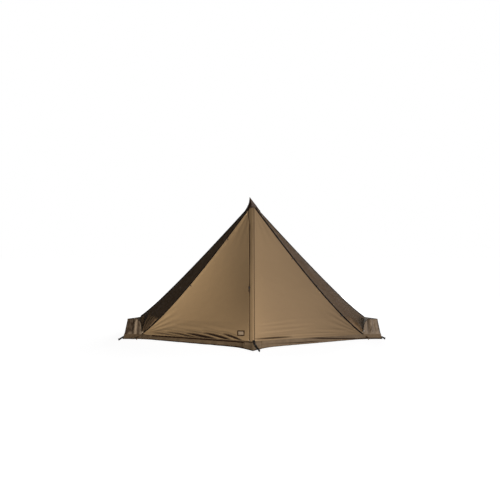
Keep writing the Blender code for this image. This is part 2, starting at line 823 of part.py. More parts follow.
def add_pull(name, along, carrier):
    """A pull: a flat tab whose window goes round one leg of the bail."""
    half, window = PULL_WIDTH / 2, PULL_WINDOW / 2
    bar = PULL_THICKNESS / 2
    tip = bar - PULL_LENGTH
    outer = [(-half, bar), (half, bar), (half, tip + half)]
    outer += [(half / 2, tip), (-half / 2, tip), (-half, tip + half)]
    far = -PULL_WINDOW_REACH
    hole = [(-window, -bar), (window, -bar), (window, far), (-window, far)]
    middle = COIL_LINE + SLIDER_MIDDLE
    place = door_frame(-1, middle, along, PULL_LIFT) @ Matrix.Rotation(math.pi / 2, 4, "X")
    add_outline(name, [outer, hole], PULL_THICKNESS, "dark_zinc", place, carrier)


def add_patch(carrier):
    """A small blank patch sewn near the foot of the left door."""
    start = COIL_LINE + DOOR_FROM_COIL
    width = fold_at(PATCH_ALONG) - start

    def surface(u, v):
        across = PATCH_ACROSS + (u - 0.5) * PATCH_WIDTH
        along = PATCH_ALONG + (v - 0.5) * PATCH_HEIGHT + (u - 0.5) * PATCH_WIDTH * SILL_SLOPE
        share = (along - across * SILL_SLOPE) / (DOOR_TOP - across * SILL_SLOPE)
        hollow = door_hollow((across - start) / width, share)
        return door_point(-1, across, along, PATCH_THICKNESS + 2 * TOUCH - hollow)

    add_sheet("blank_patch", surface, 4, 3, "patch_fabric", True, PATCH_THICKNESS, carrier)


def toggle_place(side, height, on_roof):
    """Where a toggle's cord comes out of the cloth, with Z out of it and X away from the seam."""
    t = at_depth(seam, side, PEAK_HEIGHT - height)
    point = seam(side, t)
    run = (seam(side, t + 0.01) - seam(side, t - 0.01)).normalized()
    if on_roof > 0:
        toward = hip(side, t) - point
    else:
        toward = point - door_point(side, *(seam_flat(t) + CHORD_SIDE))
    normal = outwards(run.cross(toward), point)
    away = normal.cross(run) * (1 if normal.cross(run).dot(toward) > 0 else -1)
    turn = Matrix((away, normal.cross(away), normal)).transposed().to_4x4()
    return Matrix.Translation(point + away * TOGGLE_FROM_SEAM) @ turn


def add_toggle(name, side, height, on_roof):
    """A barrel toggle, and the knotted cord that it turns on."""
    place = toggle_place(side, height, on_roof)
    lift = TOUCH * (3 if on_roof > 0 else 1)
    radius, cord = TOGGLE_DIAMETER / 2, CORD_DIAMETER / 2
    pad_top = lift + CORD_PAD_THICKNESS
    centre = pad_top + TOUCH + radius
    knot = centre + radius + TOUCH
    joint = add_joint(name + "_toggle_joint", place @ Vector((0.0, 0.0, centre)))
    half = TOGGLE_LENGTH / 2
    end, full = TOGGLE_END_SHARE * radius, (1 - TOGGLE_TAPER_SHARE) * half
    barrel = [(0.0, half), (end, half), (radius, full)]
    barrel += [(radius, -full), (end, -half), (0.0, -half)]
    lying = place @ Matrix.Translation((0.0, 0.0, centre)) @ Matrix.Rotation(math.pi / 2, 4, "Y")
    toggle = add_turned(name + "_toggle", barrel, "dark_acetal", lying, 12, carrier=joint)
    upright = place @ Matrix.Translation((0.0, 0.0, centre))
    bore = [(0.0, TOGGLE_DIAMETER), (TOGGLE_HOLE / 2, TOGGLE_DIAMETER)]
    bore += [(TOGGLE_HOLE / 2, -TOGGLE_DIAMETER), (0.0, -TOGGLE_DIAMETER)]
    hole = add_turned(name + "_toggle_hole", bore, "dark_acetal", upright, 12, carrier=joint)
    join_or_cut(toggle, hole, "DIFFERENCE")
    ball = CORD_KNOT_RADIUS
    profile = [(0.0, knot + 2 * ball), (0.7 * ball, knot + 1.7 * ball), (ball, knot + ball)]
    profile += [(0.7 * ball, knot + 0.3 * ball), (cord, knot), (cord, pad_top)]
    profile += [(CORD_PAD_RADIUS, pad_top), (CORD_PAD_RADIUS, lift), (0.0, lift)]
    add_turned(name + "_toggle_cord", profile, "elastic_cord", place, 10)


# The peak's steepest face sets how far below the peak the pole's end comes to rest.
REAR_FALL = PEAK_HEIGHT - REAR_WALL_HEIGHT
REAR_UPRIGHT = REAR_REACH / math.hypot(REAR_REACH, REAR_FALL)
STEEPEST = min(door_normal(1).z, roof_normal(1).z, REAR_UPRIGHT)
TIP_DEPTH = (TUBE_DIAMETER / 2 - TOUCH) / STEEPEST


def add_pole():
    """Three plugged tubes on a rubber foot, with a rounded plug under the peak."""
    radius, bore = TUBE_DIAMETER / 2, TUBE_DIAMETER / 2 - TUBE_WALL
    spigot = bore - TOUCH
    start = FOOT_FLOOR + TOUCH
    end = PEAK_HEIGHT - TIP_DEPTH - TIP_COLLAR
    length = (end - start) / len(POLE_SECTIONS)
    foot = [(0.0, FOOT_FLOOR), (radius + TOUCH, FOOT_FLOOR), (radius + TOUCH, FOOT_HEIGHT)]
    foot += [(radius + FOOT_LIP, FOOT_HEIGHT), (FOOT_RADIUS, FOOT_SHOULDER), (FOOT_RADIUS, 0.0), (0.0, 0.0)]
    add_turned("pole_foot", foot, "grey_rubber")
    for number, name in enumerate(POLE_SECTIONS):
        low = start + number * length
        top = low + length - TOUCH
        tube = [(radius, top), (radius, low), (bore, low)]
        if name != POLE_SECTIONS[-1]:
            tip = top + SPIGOT_LENGTH
            tube = [(spigot, tip), (spigot, top), *tube]
            tube += [(bore, top - TUBE_WALL), (spigot - TUBE_WALL, top), (spigot - TUBE_WALL, tip)]
        else:
            tube.append((bore, top))
        add_turned(name, tube, "pole_aluminium", ring=True)
    ball = PEAK_HEIGHT - TIP_DEPTH
    arc = []
    for step in range(5):
        angle = step * math.pi / 8
        arc.append((radius * math.sin(angle), ball + radius * math.cos(angle)))
    stem = end - TIP_STEM
    plug = [*arc, (radius, end), (spigot, end), (spigot, stem), (0.0, stem)]
    add_turned("pole_tip", plug, "dark_acetal")


def peak_ring(u, depths, lift=0.0):
    """A point round the peak's five-sided pyramid, at the depth given for each of its five edges."""
    feet = [RIDGE_FOOT, seam_foot(1), rear_corner(1), rear_corner(-1), seam_foot(-1)]
    edge = min(4, int(5 * u))
    share = 5 * u - edge
    ends = []
    for number in (edge, (edge + 1) % 5):
        ray = (feet[number] - PEAK) / (PEAK_HEIGHT - feet[number].z)
        ends.append(PEAK + Vector((0.0, 0.0, lift)) + ray * (depths[number] + lift))
    return ends[0].lerp(ends[1], share)


def add_round_shell(name, surface, columns, rows, finish, thickness):
    """A cloth cone: a grid closed on itself round the pole and drawn to a point at its top."""
    obj = add_sheet(name, surface, columns, rows, finish, thickness=thickness)
    obj.modifiers["thickness"].use_even_offset = False
    mesh = bmesh.new()
    mesh.from_mesh(obj.data)
    bmesh.ops.remove_doubles(mesh, verts=mesh.verts, dist=0.00001)
    mesh.to_mesh(obj.data)
    mesh.free()
    return obj


def add_peak():
    """The reinforced cap over the pole's end, and the rain hood over it."""
    cap_lift = (CAP_THICKNESS + TOUCH) / STEEPEST
    hood_lift = cap_lift + HOOD_CLOTH / STEEPEST
    hem_depths = [HOOD_FRONT_DEPTH, HOOD_SEAM_DEPTH, HOOD_SIDE_DEPTH, HOOD_SIDE_DEPTH, HOOD_SEAM_DEPTH]

    def cap(u, v):
        top = PEAK + Vector((0.0, 0.0, cap_lift))
        return peak_ring(u, [CAP_DEPTH] * 5, cap_lift).lerp(top, v)

    def hood(u, v):
        base = peak_ring(u, hem_depths, hood_lift)
        tip = PEAK + Vector((HOOD_LEAN, 0.0, HOOD_RISE))
        leftward = max(0.0, -base.x / base.xy.length)
        hollow = HOOD_HOLLOW * math.sin(math.pi * v) * leftward
        return base.lerp(tip, v) + Vector((hollow, 0.0, 0.0))

    add_round_shell("peak_cap", cap, 20, 1, "black_webbing", CAP_THICKNESS)
    add_round_shell("rain_hood", hood, 20, 5, "coyote_cloth", HOOD_CLOTH)


def stadium(near, far, radius, steps=6):
    """A long loop in the XY plane: two round ends of that radius, joined by straights."""
    points = []
    for centre, start in ((far, -math.pi / 2), (near, math.pi / 2)):
        for step in range(steps + 1):
            angle = start + math.pi * step / steps
            points.append((centre + radius * math.cos(angle), radius * math.sin(angle)))
    return points


def rectangle(half_x, half_y):
    """The four corners of a rectangle about the origin."""
    return [(-half_x, -half_y), (half_x, -half_y), (half_x, half_y), (-half_x, half_y)]


def add_peg(name, cloth_point, cloth_normal, hold):
    """A steel peg square to its webbing loop, which runs from the cloth to the peg's shaft."""
    pull = (hold - cloth_point).normalized()
    sideways = pull.cross(Vector((0.0, 0.0, 1.0))).normalized()
    shaft = sideways.cross(pull)
    lean, round_end = abs(cloth_normal.dot(shaft)), LOOP_NOSE + LOOP_BAND
    clear = round_end * math.sqrt(1 - lean * lean) + LOOP_WIDTH / 2 * lean + TOUCH
    start = cloth_point + pull * (clear / cloth_normal.dot(pull) - round_end)
    turn = Matrix((pull, shaft.cross(pull), shaft)).transposed().to_4x4()
    at_hold = Matrix.Translation(hold) @ turn
    rise = LOOP_WIDTH / 2 + TOUCH + PEG_HEAD_THICKNESS
    half = PEG_DIAMETER / 2
    profile = [(0.0, rise), (PEG_HEAD_RADIUS, rise), (PEG_HEAD_RADIUS, rise - PEG_HEAD_THICKNESS)]
    point = rise - PEG_LENGTH
    profile += [(half, rise - PEG_HEAD_THICKNESS), (half, point + PEG_POINT), (0.0, point)]
    add_turned(name + "_peg", profile, "peg_steel", at_hold, 12)
    length = (hold - start).length
    near, far = round_end - length, LOOP_NOSE - half - TOUCH
    inner = stadium(near, far, LOOP_NOSE)
    outer = stadium(near, far, round_end)
    add_outline(name + "_loop", [outer, inner], LOOP_WIDTH, "black_webbing", at_hold)
    return at_hold, length


def skirt_normal(side, t):
    """The unit vector out of a side skirt, at that share of its length."""
    run = hem(side, t + 0.01) - hem(side, t)
    return outwards(run.cross(sill(side, t) - hem(side, t)), hem(side, t))


def add_pegs():
    """The seven pegs, and the front strap with its buckle."""
    front = corner_tab_point(STRAP_ASIDE, STRAP_SHARE)
    run = corner_tab_point(2 * STRAP_ASIDE, STRAP_SHARE) - front
    normal = outwards(run.cross(corner_tab_point(STRAP_ASIDE, 1.0) - front), front)
    hold = Vector((FRONT_PEG_ASIDE, -FRONT_REACH - FRONT_PEG_AHEAD, HOLD_HEIGHT))
    place, length = add_peg("front_strap", front, normal, hold)
    for side in (-1, 1):
        ear_reach = LEFT_EAR_PEG_REACH if side < 0 else RIGHT_EAR_PEG_REACH
        places = {"seam": (0.02, SEAM_PEG_REACH), "ear": (0.24, ear_reach), "rear": (0.985, REAR_PEG_REACH)}
        for name, (t, reach) in places.items():
            start = sill(side, t).lerp(hem(side, t), LOOP_SHARE)
            hold = Vector((start.x + side * reach[0], start.y + reach[1], HOLD_HEIGHT))
            add_peg(f"{side_name(side)}_{name}", start, skirt_normal(side, t), hold)
    half_loop = LOOP_NOSE + LOOP_BAND + TOUCH
    tall = LOOP_WIDTH / 2 + TOUCH
    outer = rectangle(tall + BUCKLE_BAR, half_loop + BUCKLE_BAR)
    hole = rectangle(tall, half_loop)
    at_cloth = Matrix.Translation((BUCKLE_FROM_CLOTH - length, 0.0, 0.0))
    turned = place @ at_cloth @ Matrix.Rotation(math.pi / 2, 4, "Y")
    add_outline("front_buckle", [outer, hole], BUCKLE_LENGTH, "dark_acetal", turned)


def main():
    clear_scene()
    joints = {}
    for side in (-1, 1):
        middle = DOOR_TOP / 2
        place = door_point(side, fold_at(middle), middle)
        joints[side] = add_joint(side_name(side) + "_door_joint", place)
        add_door(side, joints[side])
        add_door_edge(side)
        add_door_skirt(side, joints[side])
        add_side_roof(side)
        add_side_wall(side)
        add_side_skirt(side)
        add_tapes(side)
    add_corner_tab()
    add_rear()
    add_storm_flap(joints[1])
    add_zip_half("left_zip_half", 1, joints[-1])
    add_zip_half("right_zip_half", -1, joints[1])
    for name, along in (("upper", UPPER_SLIDER_AT), ("lower", UPPER_SLIDER_AT - SLIDER_SPACING)):
        slide = add_joint(name + "_slider_joint", door_point(-1, COIL_LINE, along), joints[-1])
        add_slider(name + "_slider", along, slide)
        pivot = door_point(-1, COIL_LINE + SLIDER_MIDDLE, along, PULL_LIFT)
        hinge = add_joint(name + "_pull_joint", pivot, slide)
        add_pull(name + "_pull", along, hinge)
    add_patch(joints[-1])
    for name, (side, height, on_roof) in TOGGLES.items():
        add_toggle(name, side, height, on_roof)
    add_pole()
    add_peak()
    add_pegs()


main()
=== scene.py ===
# %% [markdown]
# A one-pole tent, dressed in Blender
#
# The tent's solids were made as a mechanical model first. This script loads them as a fixed
# frame and gives each piece the looks of the real thing: cloth with folds and a weave, tapes, zips,
# stitching and hardware. Lengths are in metres, +Z is up and the doors look along -Y. Left and right are
# as seen from in front.

# %% Load the imported tent
import json
import math
import bpy
from mathutils import Matrix, Vector, noise


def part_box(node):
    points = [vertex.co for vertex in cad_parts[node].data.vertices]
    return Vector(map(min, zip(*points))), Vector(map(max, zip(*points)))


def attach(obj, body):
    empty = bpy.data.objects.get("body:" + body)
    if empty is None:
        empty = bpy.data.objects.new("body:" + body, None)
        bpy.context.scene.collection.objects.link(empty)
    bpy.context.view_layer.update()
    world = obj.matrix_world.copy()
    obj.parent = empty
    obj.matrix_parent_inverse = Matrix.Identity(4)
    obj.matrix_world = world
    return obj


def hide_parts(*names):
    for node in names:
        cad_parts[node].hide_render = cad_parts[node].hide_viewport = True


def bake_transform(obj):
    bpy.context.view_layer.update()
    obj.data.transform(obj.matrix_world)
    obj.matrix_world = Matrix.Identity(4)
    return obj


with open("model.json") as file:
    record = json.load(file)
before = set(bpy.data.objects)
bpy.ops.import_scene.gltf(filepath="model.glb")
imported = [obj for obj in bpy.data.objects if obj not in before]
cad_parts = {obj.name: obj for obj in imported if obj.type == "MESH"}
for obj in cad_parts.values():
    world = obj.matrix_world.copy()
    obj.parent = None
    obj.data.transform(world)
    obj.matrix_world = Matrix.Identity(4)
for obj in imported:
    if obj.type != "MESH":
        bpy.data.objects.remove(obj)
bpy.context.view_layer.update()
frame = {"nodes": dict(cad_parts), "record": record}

# %% [markdown]
# The camera stands nine metres in front, a metre above the ground, and looks level, so there is almost no
# perspective and the horizon is halfway up the picture. It stands a little left of the pole instead of
# being shifted, because the nearer front corner then moves less than the peak, as in the photograph.

# %% Camera
CAMERA_DISTANCE = 9.0
EYE_HEIGHT = 1.005
EYE_ASIDE = -0.029
LENS = 56.2

bpy.ops.object.camera_add(location=(EYE_ASIDE, -CAMERA_DISTANCE, EYE_HEIGHT),
                          rotation=(math.pi / 2, 0.0, 0.0))
camera = bpy.context.object
camera.data.lens = LENS
camera.data.sensor_width = 36.0
bpy.context.scene.camera = camera
bpy.context.scene.view_settings.view_transform = "Standard"

# %% [markdown]
# A material is a small graph of nodes. Colours are hex codes, as a paint shop writes them, and one function
# turns them into the linear light that a shader wants. Others feed a node's inputs and add a node.

# %% Helpers for materials
def linear(hex_colour):
    """Turn an sRGB hex colour into the linear values that a shader takes."""
    channels = [int(hex_colour[place:place + 2], 16) / 255 for place in (0, 2, 4)]
    return [c / 12.92 if c <= 0.04045 else ((c + 0.055) / 1.055) ** 2.4 for c in channels] + [1.0]


def feed(node, inputs):
    """Set a node's inputs. Each gets a value, another node's socket, or a node for its first output."""
    for name, value in inputs.items():
        if isinstance(value, bpy.types.Node):
            value = value.outputs[0]
        if isinstance(value, bpy.types.NodeSocket):
            node.id_data.links.new(value, node.inputs[name])
        else:
            node.inputs[name].default_value = value


def add_node(tree, kind, inputs=None, **settings):
    """Add a shader node with its inputs, and with the properties that the settings name."""
    node = tree.nodes.new("ShaderNode" + kind)
    for name, value in settings.items():
        setattr(node, name, value)
    feed(node, inputs or {})
    return node


def new_material(name, **inputs):
    """A material, its node tree and its Principled shader, whose inputs take underscores for spaces."""
    made = bpy.data.materials.new(name)
    made.use_nodes = True
    shader = made.node_tree.nodes["Principled BSDF"]
    feed(shader, {key.replace("_", " "): value for key, value in inputs.items()})
    return made, made.node_tree, shader


# %% [markdown]
# The stage is a plain white studio. Light Path makes the floor and the world white to the camera, while the
# light that they send to the tent stays low. Near the tent the floor's white is a little lower, a painted
# shadow. The soft box in front does most of the work: the doors are bright and the side roofs, which it
# only grazes, are dark. A cooler lamp lights the right door and roof more, a narrow spot brightens the left
# foot, and a lamp behind serves the rear views.

# %% Stage and lamps
WHITE = (1.0, 1.0, 1.0, 1.0)
WORLD_LIGHT, FLOOR_GREY = 0.045, (0.30, 0.30, 0.30, 1.0)
# Painted shadow: the floor's white is 0.93 within 1.6 m of the middle and rises to full white at 4 m.
PAINTED_SHADOW_REACH, PAINTED_SHADOW_END, PAINTED_SHADOW_LEVEL = 1.6, 4.0, 0.93


def white_to_camera(tree, seen, lit):
    """A strength that differs between the camera or a mirror, which see it, and what it lights."""
    path = add_node(tree, "LightPath").outputs
    direct = add_node(tree, "Math", {0: path["Is Camera Ray"], 1: path["Is Glossy Ray"]}, operation="MAXIMUM")
    direct = add_node(tree, "Math", {0: direct, 1: path["Is Transmission Ray"]}, operation="MAXIMUM")
    return add_node(tree, "MapRange", {"Value": direct, "To Min": lit, "To Max": seen}).outputs[0]


world = bpy.data.worlds.new("white studio")
bpy.context.scene.world = world
world.use_nodes = True
feed(world.node_tree.nodes["Background"],
     {"Color": WHITE, "Strength": white_to_camera(world.node_tree, 1.0, WORLD_LIGHT)})

bpy.ops.mesh.primitive_plane_add(size=160.0, location=(0.0, 0.0, 0.0))
floor = bpy.context.object
floor.name = "studio_floor"
white_floor, tree, shader = new_material("white studio floor", Roughness=0.9, Specular_IOR_Level=0.0,
                                         Base_Color=FLOOR_GREY, Emission_Color=WHITE)
place = add_node(tree, "TexCoord").outputs["Object"]
away = add_node(tree, "VectorMath", {0: place}, operation="LENGTH").outputs["Value"]
bright = add_node(tree, "MapRange", {"Value": away, "From Min": PAINTED_SHADOW_REACH, "From Max": PAINTED_SHADOW_END,
                                     "To Min": PAINTED_SHADOW_LEVEL, "To Max": 1.0})
feed(shader, {"Emission Strength": white_to_camera(tree, bright, 0.0)})
floor.data.materials.append(white_floor)


def add_lamp(kind, name, place, target, power, colour):
    """A lamp at a place, turned to face the target."""
    bpy.ops.object.light_add(type=kind, location=place)
    lamp = bpy.context.object
    lamp.name = name
    lamp.data.energy = power
    lamp.data.color = linear(colour)[:3]
    lamp.rotation_euler = (Vector(target) - Vector(place)).to_track_quat("-Z", "Y").to_euler()
    return lamp.data


def add_soft_box(name, place, target, width, height, power, colour):
    """A rectangular lamp, which gives the soft edge that a shadow has in a studio."""
    box = add_lamp("AREA", name, place, target, power, colour)
    box.shape = "RECTANGLE"
    box.size, box.size_y = width, height


add_soft_box("front_soft_box", (1.1, -8.0, 0.6), (0.0, -0.4, 0.6), 1.5, 0.9, 650.0, "FFF8F6")
add_soft_box("right_soft_box", (6.0, -4.5, 0.9), (0.0, -0.3, 0.6), 1.8, 1.4, 122.0, "C0D0FF")
add_soft_box("rear_soft_box", (1.5, 8.0, 2.0), (0.0, 0.5, 0.7), 3.0, 2.0, 420.0, "FFFFFF")
accent = add_lamp("SPOT", "left_accent", (1.6, -6.5, 0.5), (-0.85, -0.3, 0.42), 870.0, "FFF4E2")
accent.spot_size, accent.spot_blend, accent.shadow_soft_size = 0.27, 1.0, 0.25

# %% [markdown]
# The cloth is a coated nylon in coyote brown, matt with a faint sheen. Its threads are too fine to see, so
# the weave is drawn at about 2 mm and the stronger ripstop threads at their real 6 mm, with wider creases
# from packing. All of it is relief and a slight change of colour, read from a UV map in metres, so that the
# threads follow the cloth. Each panel also carries painted shade in an attribute named fold, from 0 on open
# cloth to 1 in a groove, which turns the colour to a dark brown: in creases and grooves, and over the parts
# that lie in shade, with a little random tone.

# %% Cloth material
# Painted shade: the dark brown that a panel's colour turns to where its fold attribute is high.
PAINTED_SHADE_COLOUR = "20130A"
WEAVE_SCALE = 160.0
RIPSTOP_STEP = 0.006
THREAD_RELIEF, CREASE_RELIEF = 0.0003, 0.010


def cloth_material(name, light_hex, dark_hex, crinkle, sheen=0.0):
    """Woven nylon: two near colours in soft blotches, a weave, ripstop threads and packing creases."""
    made, tree, shader = new_material(name, Roughness=0.88, Specular_IOR_Level=0.03,
                                      Sheen_Weight=sheen, Sheen_Roughness=0.5)
    uv = add_node(tree, "UVMap", uv_map="UVMap").outputs["UV"]
    place = add_node(tree, "TexCoord").outputs["Object"]
    blotch = add_node(tree, "TexNoise", {"Vector": place, "Scale": 2.2, "Detail": 4.0, "Roughness": 0.6})
    thread = add_node(tree, "TexNoise", {"Vector": uv, "Scale": WEAVE_SCALE, "Detail": 2.0})
    share = add_node(tree, "Math", {0: blotch, 1: thread, 2: 0.25}, operation="MULTIPLY_ADD")
    mixed = add_node(tree, "Mix", {"Factor": share, 6: linear(dark_hex), 7: linear(light_hex)},
                     data_type="RGBA")
    # Painted shade: the fold attribute mixes the cloth's colour towards the dark brown.
    painted_shade = add_node(tree, "Attribute", attribute_name="fold").outputs["Fac"]
    shaded = add_node(tree, "Mix", {"Factor": painted_shade, 6: mixed.outputs[2], 7: linear(PAINTED_SHADE_COLOUR)},
                      data_type="RGBA")
    across = add_node(tree, "TexWave", {"Vector": uv, "Scale": WEAVE_SCALE}, bands_direction="X")
    down = add_node(tree, "TexWave", {"Vector": uv, "Scale": WEAVE_SCALE}, bands_direction="Y")
    weave = add_node(tree, "Math", {0: across.outputs["Fac"], 1: down.outputs["Fac"]}, operation="ADD")
    relief = add_node(tree, "Bump", {"Height": weave, "Strength": 0.25, "Distance": THREAD_RELIEF})
    grid = add_node(tree, "VectorMath", {0: uv, "Scale": 1 / RIPSTOP_STEP}, operation="SCALE")
    grid = add_node(tree, "VectorMath", {0: grid}, operation="FRACTION")
    parts = add_node(tree, "SeparateXYZ", {0: grid}).outputs
    lines = add_node(tree, "Math", {0: parts[0], 1: parts[1]}, operation="MAXIMUM")
    raised = add_node(tree, "MapRange", {"Value": lines, "From Min": 0.86, "From Max": 0.95})
    relief = add_node(tree, "Bump", {"Height": raised, "Normal": relief, "Strength": 0.3,
                                     "Distance": THREAD_RELIEF})
    stretched = add_node(tree, "Mapping", {"Vector": uv, "Scale": (9.0, 26.0, 1.0),
                                           "Rotation": (0.0, 0.0, 0.35)})
    creases = add_node(tree, "TexNoise", {"Vector": stretched, "Scale": 1.0, "Detail": 5.0,
                                          "Roughness": 0.62, "Distortion": 0.6})
    relief = add_node(tree, "Bump", {"Height": creases, "Normal": relief, "Strength": crinkle,
                                     "Distance": CREASE_RELIEF})
    feed(shader, {"Base Color": shaded.outputs[2], "Normal": relief})
    return made


finishes = {
    "door_cloth": cloth_material("coyote ripstop nylon, taut", "98805F", "8E7757", 0.10, sheen=0.02),
    "roof_cloth": cloth_material("coyote ripstop nylon, creased", "937B5E", "82694E", 0.60),
    # The wall and skirt cloths are darker copies of the coyote cloth: their extra dark is painted shade.
    "wall_cloth": cloth_material("coyote nylon wall, darkened with painted shade", "8B7C68", "706250", 0.60),
    "skirt_cloth": cloth_material("coyote nylon skirt, darkened with painted shade", "806E56", "695944", 0.45),
    "hood_cloth": cloth_material("dark coated hood nylon", "6C5F54", "544941", 0.60),
}


# %% [markdown]
# Tapes and webbing are black polyester with dull, slightly lighter ribs, finer on binding tape than on
# webbing. The zip's tape is a brown knit, and the patch is woven. One function makes them all, with a wave
# texture that runs along the UV map. A wave of scale 1 repeats every 0.314 m.

# %% Tapes and webbing
WAVE_PERIOD = 0.314


def ribbed_material(name, dark_hex, light_hex, rib, roughness, has_map=True):
    """Woven tape: ribs a given distance apart along its length, or slanting where a piece has no map."""
    made, tree, shader = new_material(name, Roughness=roughness, Specular_IOR_Level=0.05)
    if has_map:
        uv, bands = add_node(tree, "UVMap", uv_map="UVMap").outputs["UV"], "Y"
    else:
        uv, bands = add_node(tree, "TexCoord").outputs["Object"], "DIAGONAL"
    ribs = add_node(tree, "TexWave", {"Vector": uv, "Scale": WAVE_PERIOD / rib, "Distortion": 0.4},
                    bands_direction=bands).outputs["Fac"]
    fuzz = add_node(tree, "TexNoise", {"Vector": uv, "Scale": 900.0, "Detail": 2.0})
    share = add_node(tree, "Math", {0: ribs, 1: fuzz}, operation="MULTIPLY")
    mixed = add_node(tree, "Mix", {"Factor": share, 6: linear(dark_hex), 7: linear(light_hex)},
                     data_type="RGBA")
    relief = add_node(tree, "Bump", {"Height": ribs, "Strength": 0.5, "Distance": 0.0004})
    feed(shader, {"Base Color": mixed.outputs[2], "Normal": relief})
    return made


for finish, *look in (
        ("black_tape", "black grosgrain binding", "040303", "0F0C0A", 0.0016, 0.85),
        ("black_webbing", "black polyester webbing", "0C0B0A", "211E1B", 0.0022, 0.7),
        ("loop_webbing", "black polyester loop webbing", "0C0B0A", "211E1B", 0.0022, 0.7, False),
        ("brown_webbing", "coyote polyester loop webbing", "4A3A29", "6B563D", 0.0022, 0.8, False),
        ("brown_zip_tape", "brown knitted zip tape", "3A2C1F", "5B4632", 0.0012, 0.8),
        ("flap_binding", "dark brown edge binding", "33251A", "4A3828", 0.0030, 0.8),
        ("patch_border", "merrowed patch border", "2A1C10", "3B2A1A", 0.0016, 0.85),
        ("patch_field", "pale woven patch field", "8D7C66", "A39178", 0.0012, 0.85)):
    finishes[finish] = ribbed_material(*look)

# %% [markdown]
# The outline comes from a handful of points: the peak, the foot of the front ridge, the feet of the side
# seams, the tops of the front corners and the rear corners. Each door is a flat triangle with its own
# ruler: across from the ridge and along it. A seam is a straight line bent inwards towards its foot, as on
# a taut tent. The solids use these same lines, because the dressed cloth has to sit where they are.

# %% Lines that the panels share
UP = Vector((0.0, 0.0, 1.0))
PEAK = Vector((0.0, 0.0, 1.54))
RIDGE_FOOT = Vector((0.0, -1.07, 0.08))
SILL_HEIGHT = 0.05
UP_RIDGE = (PEAK - RIDGE_FOOT).normalized()
RIDGE_LENGTH = (PEAK - RIDGE_FOOT).length
SEAM_SAG, SEAM_SAG_SHARE = 0.082, 0.76
HIP_SAG, HIP_SAG_SHARE = 0.040, 0.80
CLOTH = 0.0009
SEAM_GAP, SILL_GAP = 0.0014, 0.0006
TOP_DEPTH = 0.030
FOLD_INSET = 0.140
HEM_LIFT = 0.002


def seam_foot(side):
    return Vector((side * 1.26, -0.16, SILL_HEIGHT))


def ear_top(side):
    return Vector((side * 1.418, -0.15, 0.228))


def rear_corner(side):
    return Vector((side * 1.407, 0.80, 0.166))


def outwards(vector, point):
    """The unit vector, turned to point away from the middle of the tent."""
    vector = vector.normalized()
    return vector if vector.dot(point - Vector((0.0, 0.1, 0.3))) > 0 else -vector


def across_door(side):
    """The unit vector in a door's plane, square to the ridge, pointing away from it."""
    span = seam_foot(side) - RIDGE_FOOT
    return (span - span.dot(UP_RIDGE) * UP_RIDGE).normalized()


ACROSS = {side: across_door(side) for side in (-1, 1)}
NORMAL = {side: outwards(ACROSS[side].cross(UP_RIDGE), RIDGE_FOOT) for side in (-1, 1)}


def door_point(side, across, along, lift=0.0):
    """A point by its distances across from the ridge, up along it, and out of the door's plane."""
    return RIDGE_FOOT + across * ACROSS[side] + along * UP_RIDGE + lift * NORMAL[side]


FOOT_ACROSS = (seam_foot(1) - RIDGE_FOOT).dot(ACROSS[1])
FOOT_ALONG = (seam_foot(1) - RIDGE_FOOT).dot(UP_RIDGE)
SILL_SLOPE = FOOT_ALONG / FOOT_ACROSS
CHORD = Vector((FOOT_ACROSS, FOOT_ALONG - RIDGE_LENGTH))
CHORD_SIDE = Vector((-CHORD.y, CHORD.x)).normalized()
FOLD_TOP = RIDGE_LENGTH - 0.26


def bend(start, end, sag, sag_at, t):
    """A seam that runs from start to end and is pulled off the straight by the vector sag."""
    middle = start.lerp(end, sag_at) + 2 * sag
    return start.lerp(middle, t).lerp(middle.lerp(end, t), t)


def seam_flat(t):
    """The side seam in a door's plane, from the peak at 0 to its foot at 1, as (across, along)."""
    top = Vector((0.0, RIDGE_LENGTH))
    return bend(top, top + CHORD, -SEAM_SAG * CHORD_SIDE, SEAM_SAG_SHARE, t)


def seam(side, t):
    across, along = seam_flat(t)
    return door_point(side, across, along)


def hip(side, t):
    """The hip from the peak at 0 to the rear corner at 1, pulled inwards as taut cloth is."""
    end = rear_corner(side)
    middle = PEAK.lerp(end, 0.5)
    roof = outwards((seam_foot(side) - PEAK).cross(end - PEAK), middle)
    rear = outwards((end - PEAK).cross(Vector((1.0, 0.0, 0.0))), middle)
    return bend(PEAK, end, -HIP_SAG * (roof + rear).normalized(), HIP_SAG_SHARE, t)


def at_depth(line, side, depth):
    """The place along a seam or hip, from 0 to 1, that lies this far below the peak."""
    low, high = 0.0, 1.0
    for _ in range(30):
        middle = (low + high) / 2
        if line(side, middle).z > PEAK.z - depth:
            low = middle
        else:
            high = middle
    return low


def fold_at(along):
    """How far across from the ridge a door's fold line lies at that distance up the ridge."""
    start = Vector((0.0, RIDGE_LENGTH)) - FOLD_INSET * CHORD_SIDE
    return start.x + (along - start.y) * CHORD.x / CHORD.y


SEAM_POINTS = [seam_flat(step / 80) for step in range(81)]


def seam_across(along):
    """How far across from the ridge the side seam lies at that distance up the ridge."""
    for upper, lower in zip(SEAM_POINTS, SEAM_POINTS[1:]):
        if lower.y <= along <= upper.y:
            return lower.x + (upper.x - lower.x) * (along - lower.y) / (upper.y - lower.y)
    return FOOT_ACROSS if along < FOOT_ALONG else 0.0


def bump_at(x, width):
    """A smooth bump: 1 at x = 0, 0 past the width."""
    return max(0.0, 1 - (x / width) ** 2) ** 2


def groove(x, width):
    """A soft line: 1 at x = 0, nearly 0 past 1.5 widths."""
    return math.exp(-(x / width) ** 2)


def clamp(x):
    return min(1.0, max(0.0, x))


def arch(x):
    """A smooth arch from 0 at x = 0 over 1 in the middle to 0 at x = 1."""
    return math.sin(math.pi * x)


def off_ends(u, steep):
    """1 along the middle of a panel, falling to 0 at u = 0 and u = 1 over a share of 1 / steep."""
    return min(1.0, u * steep, (1 - u) * steep)


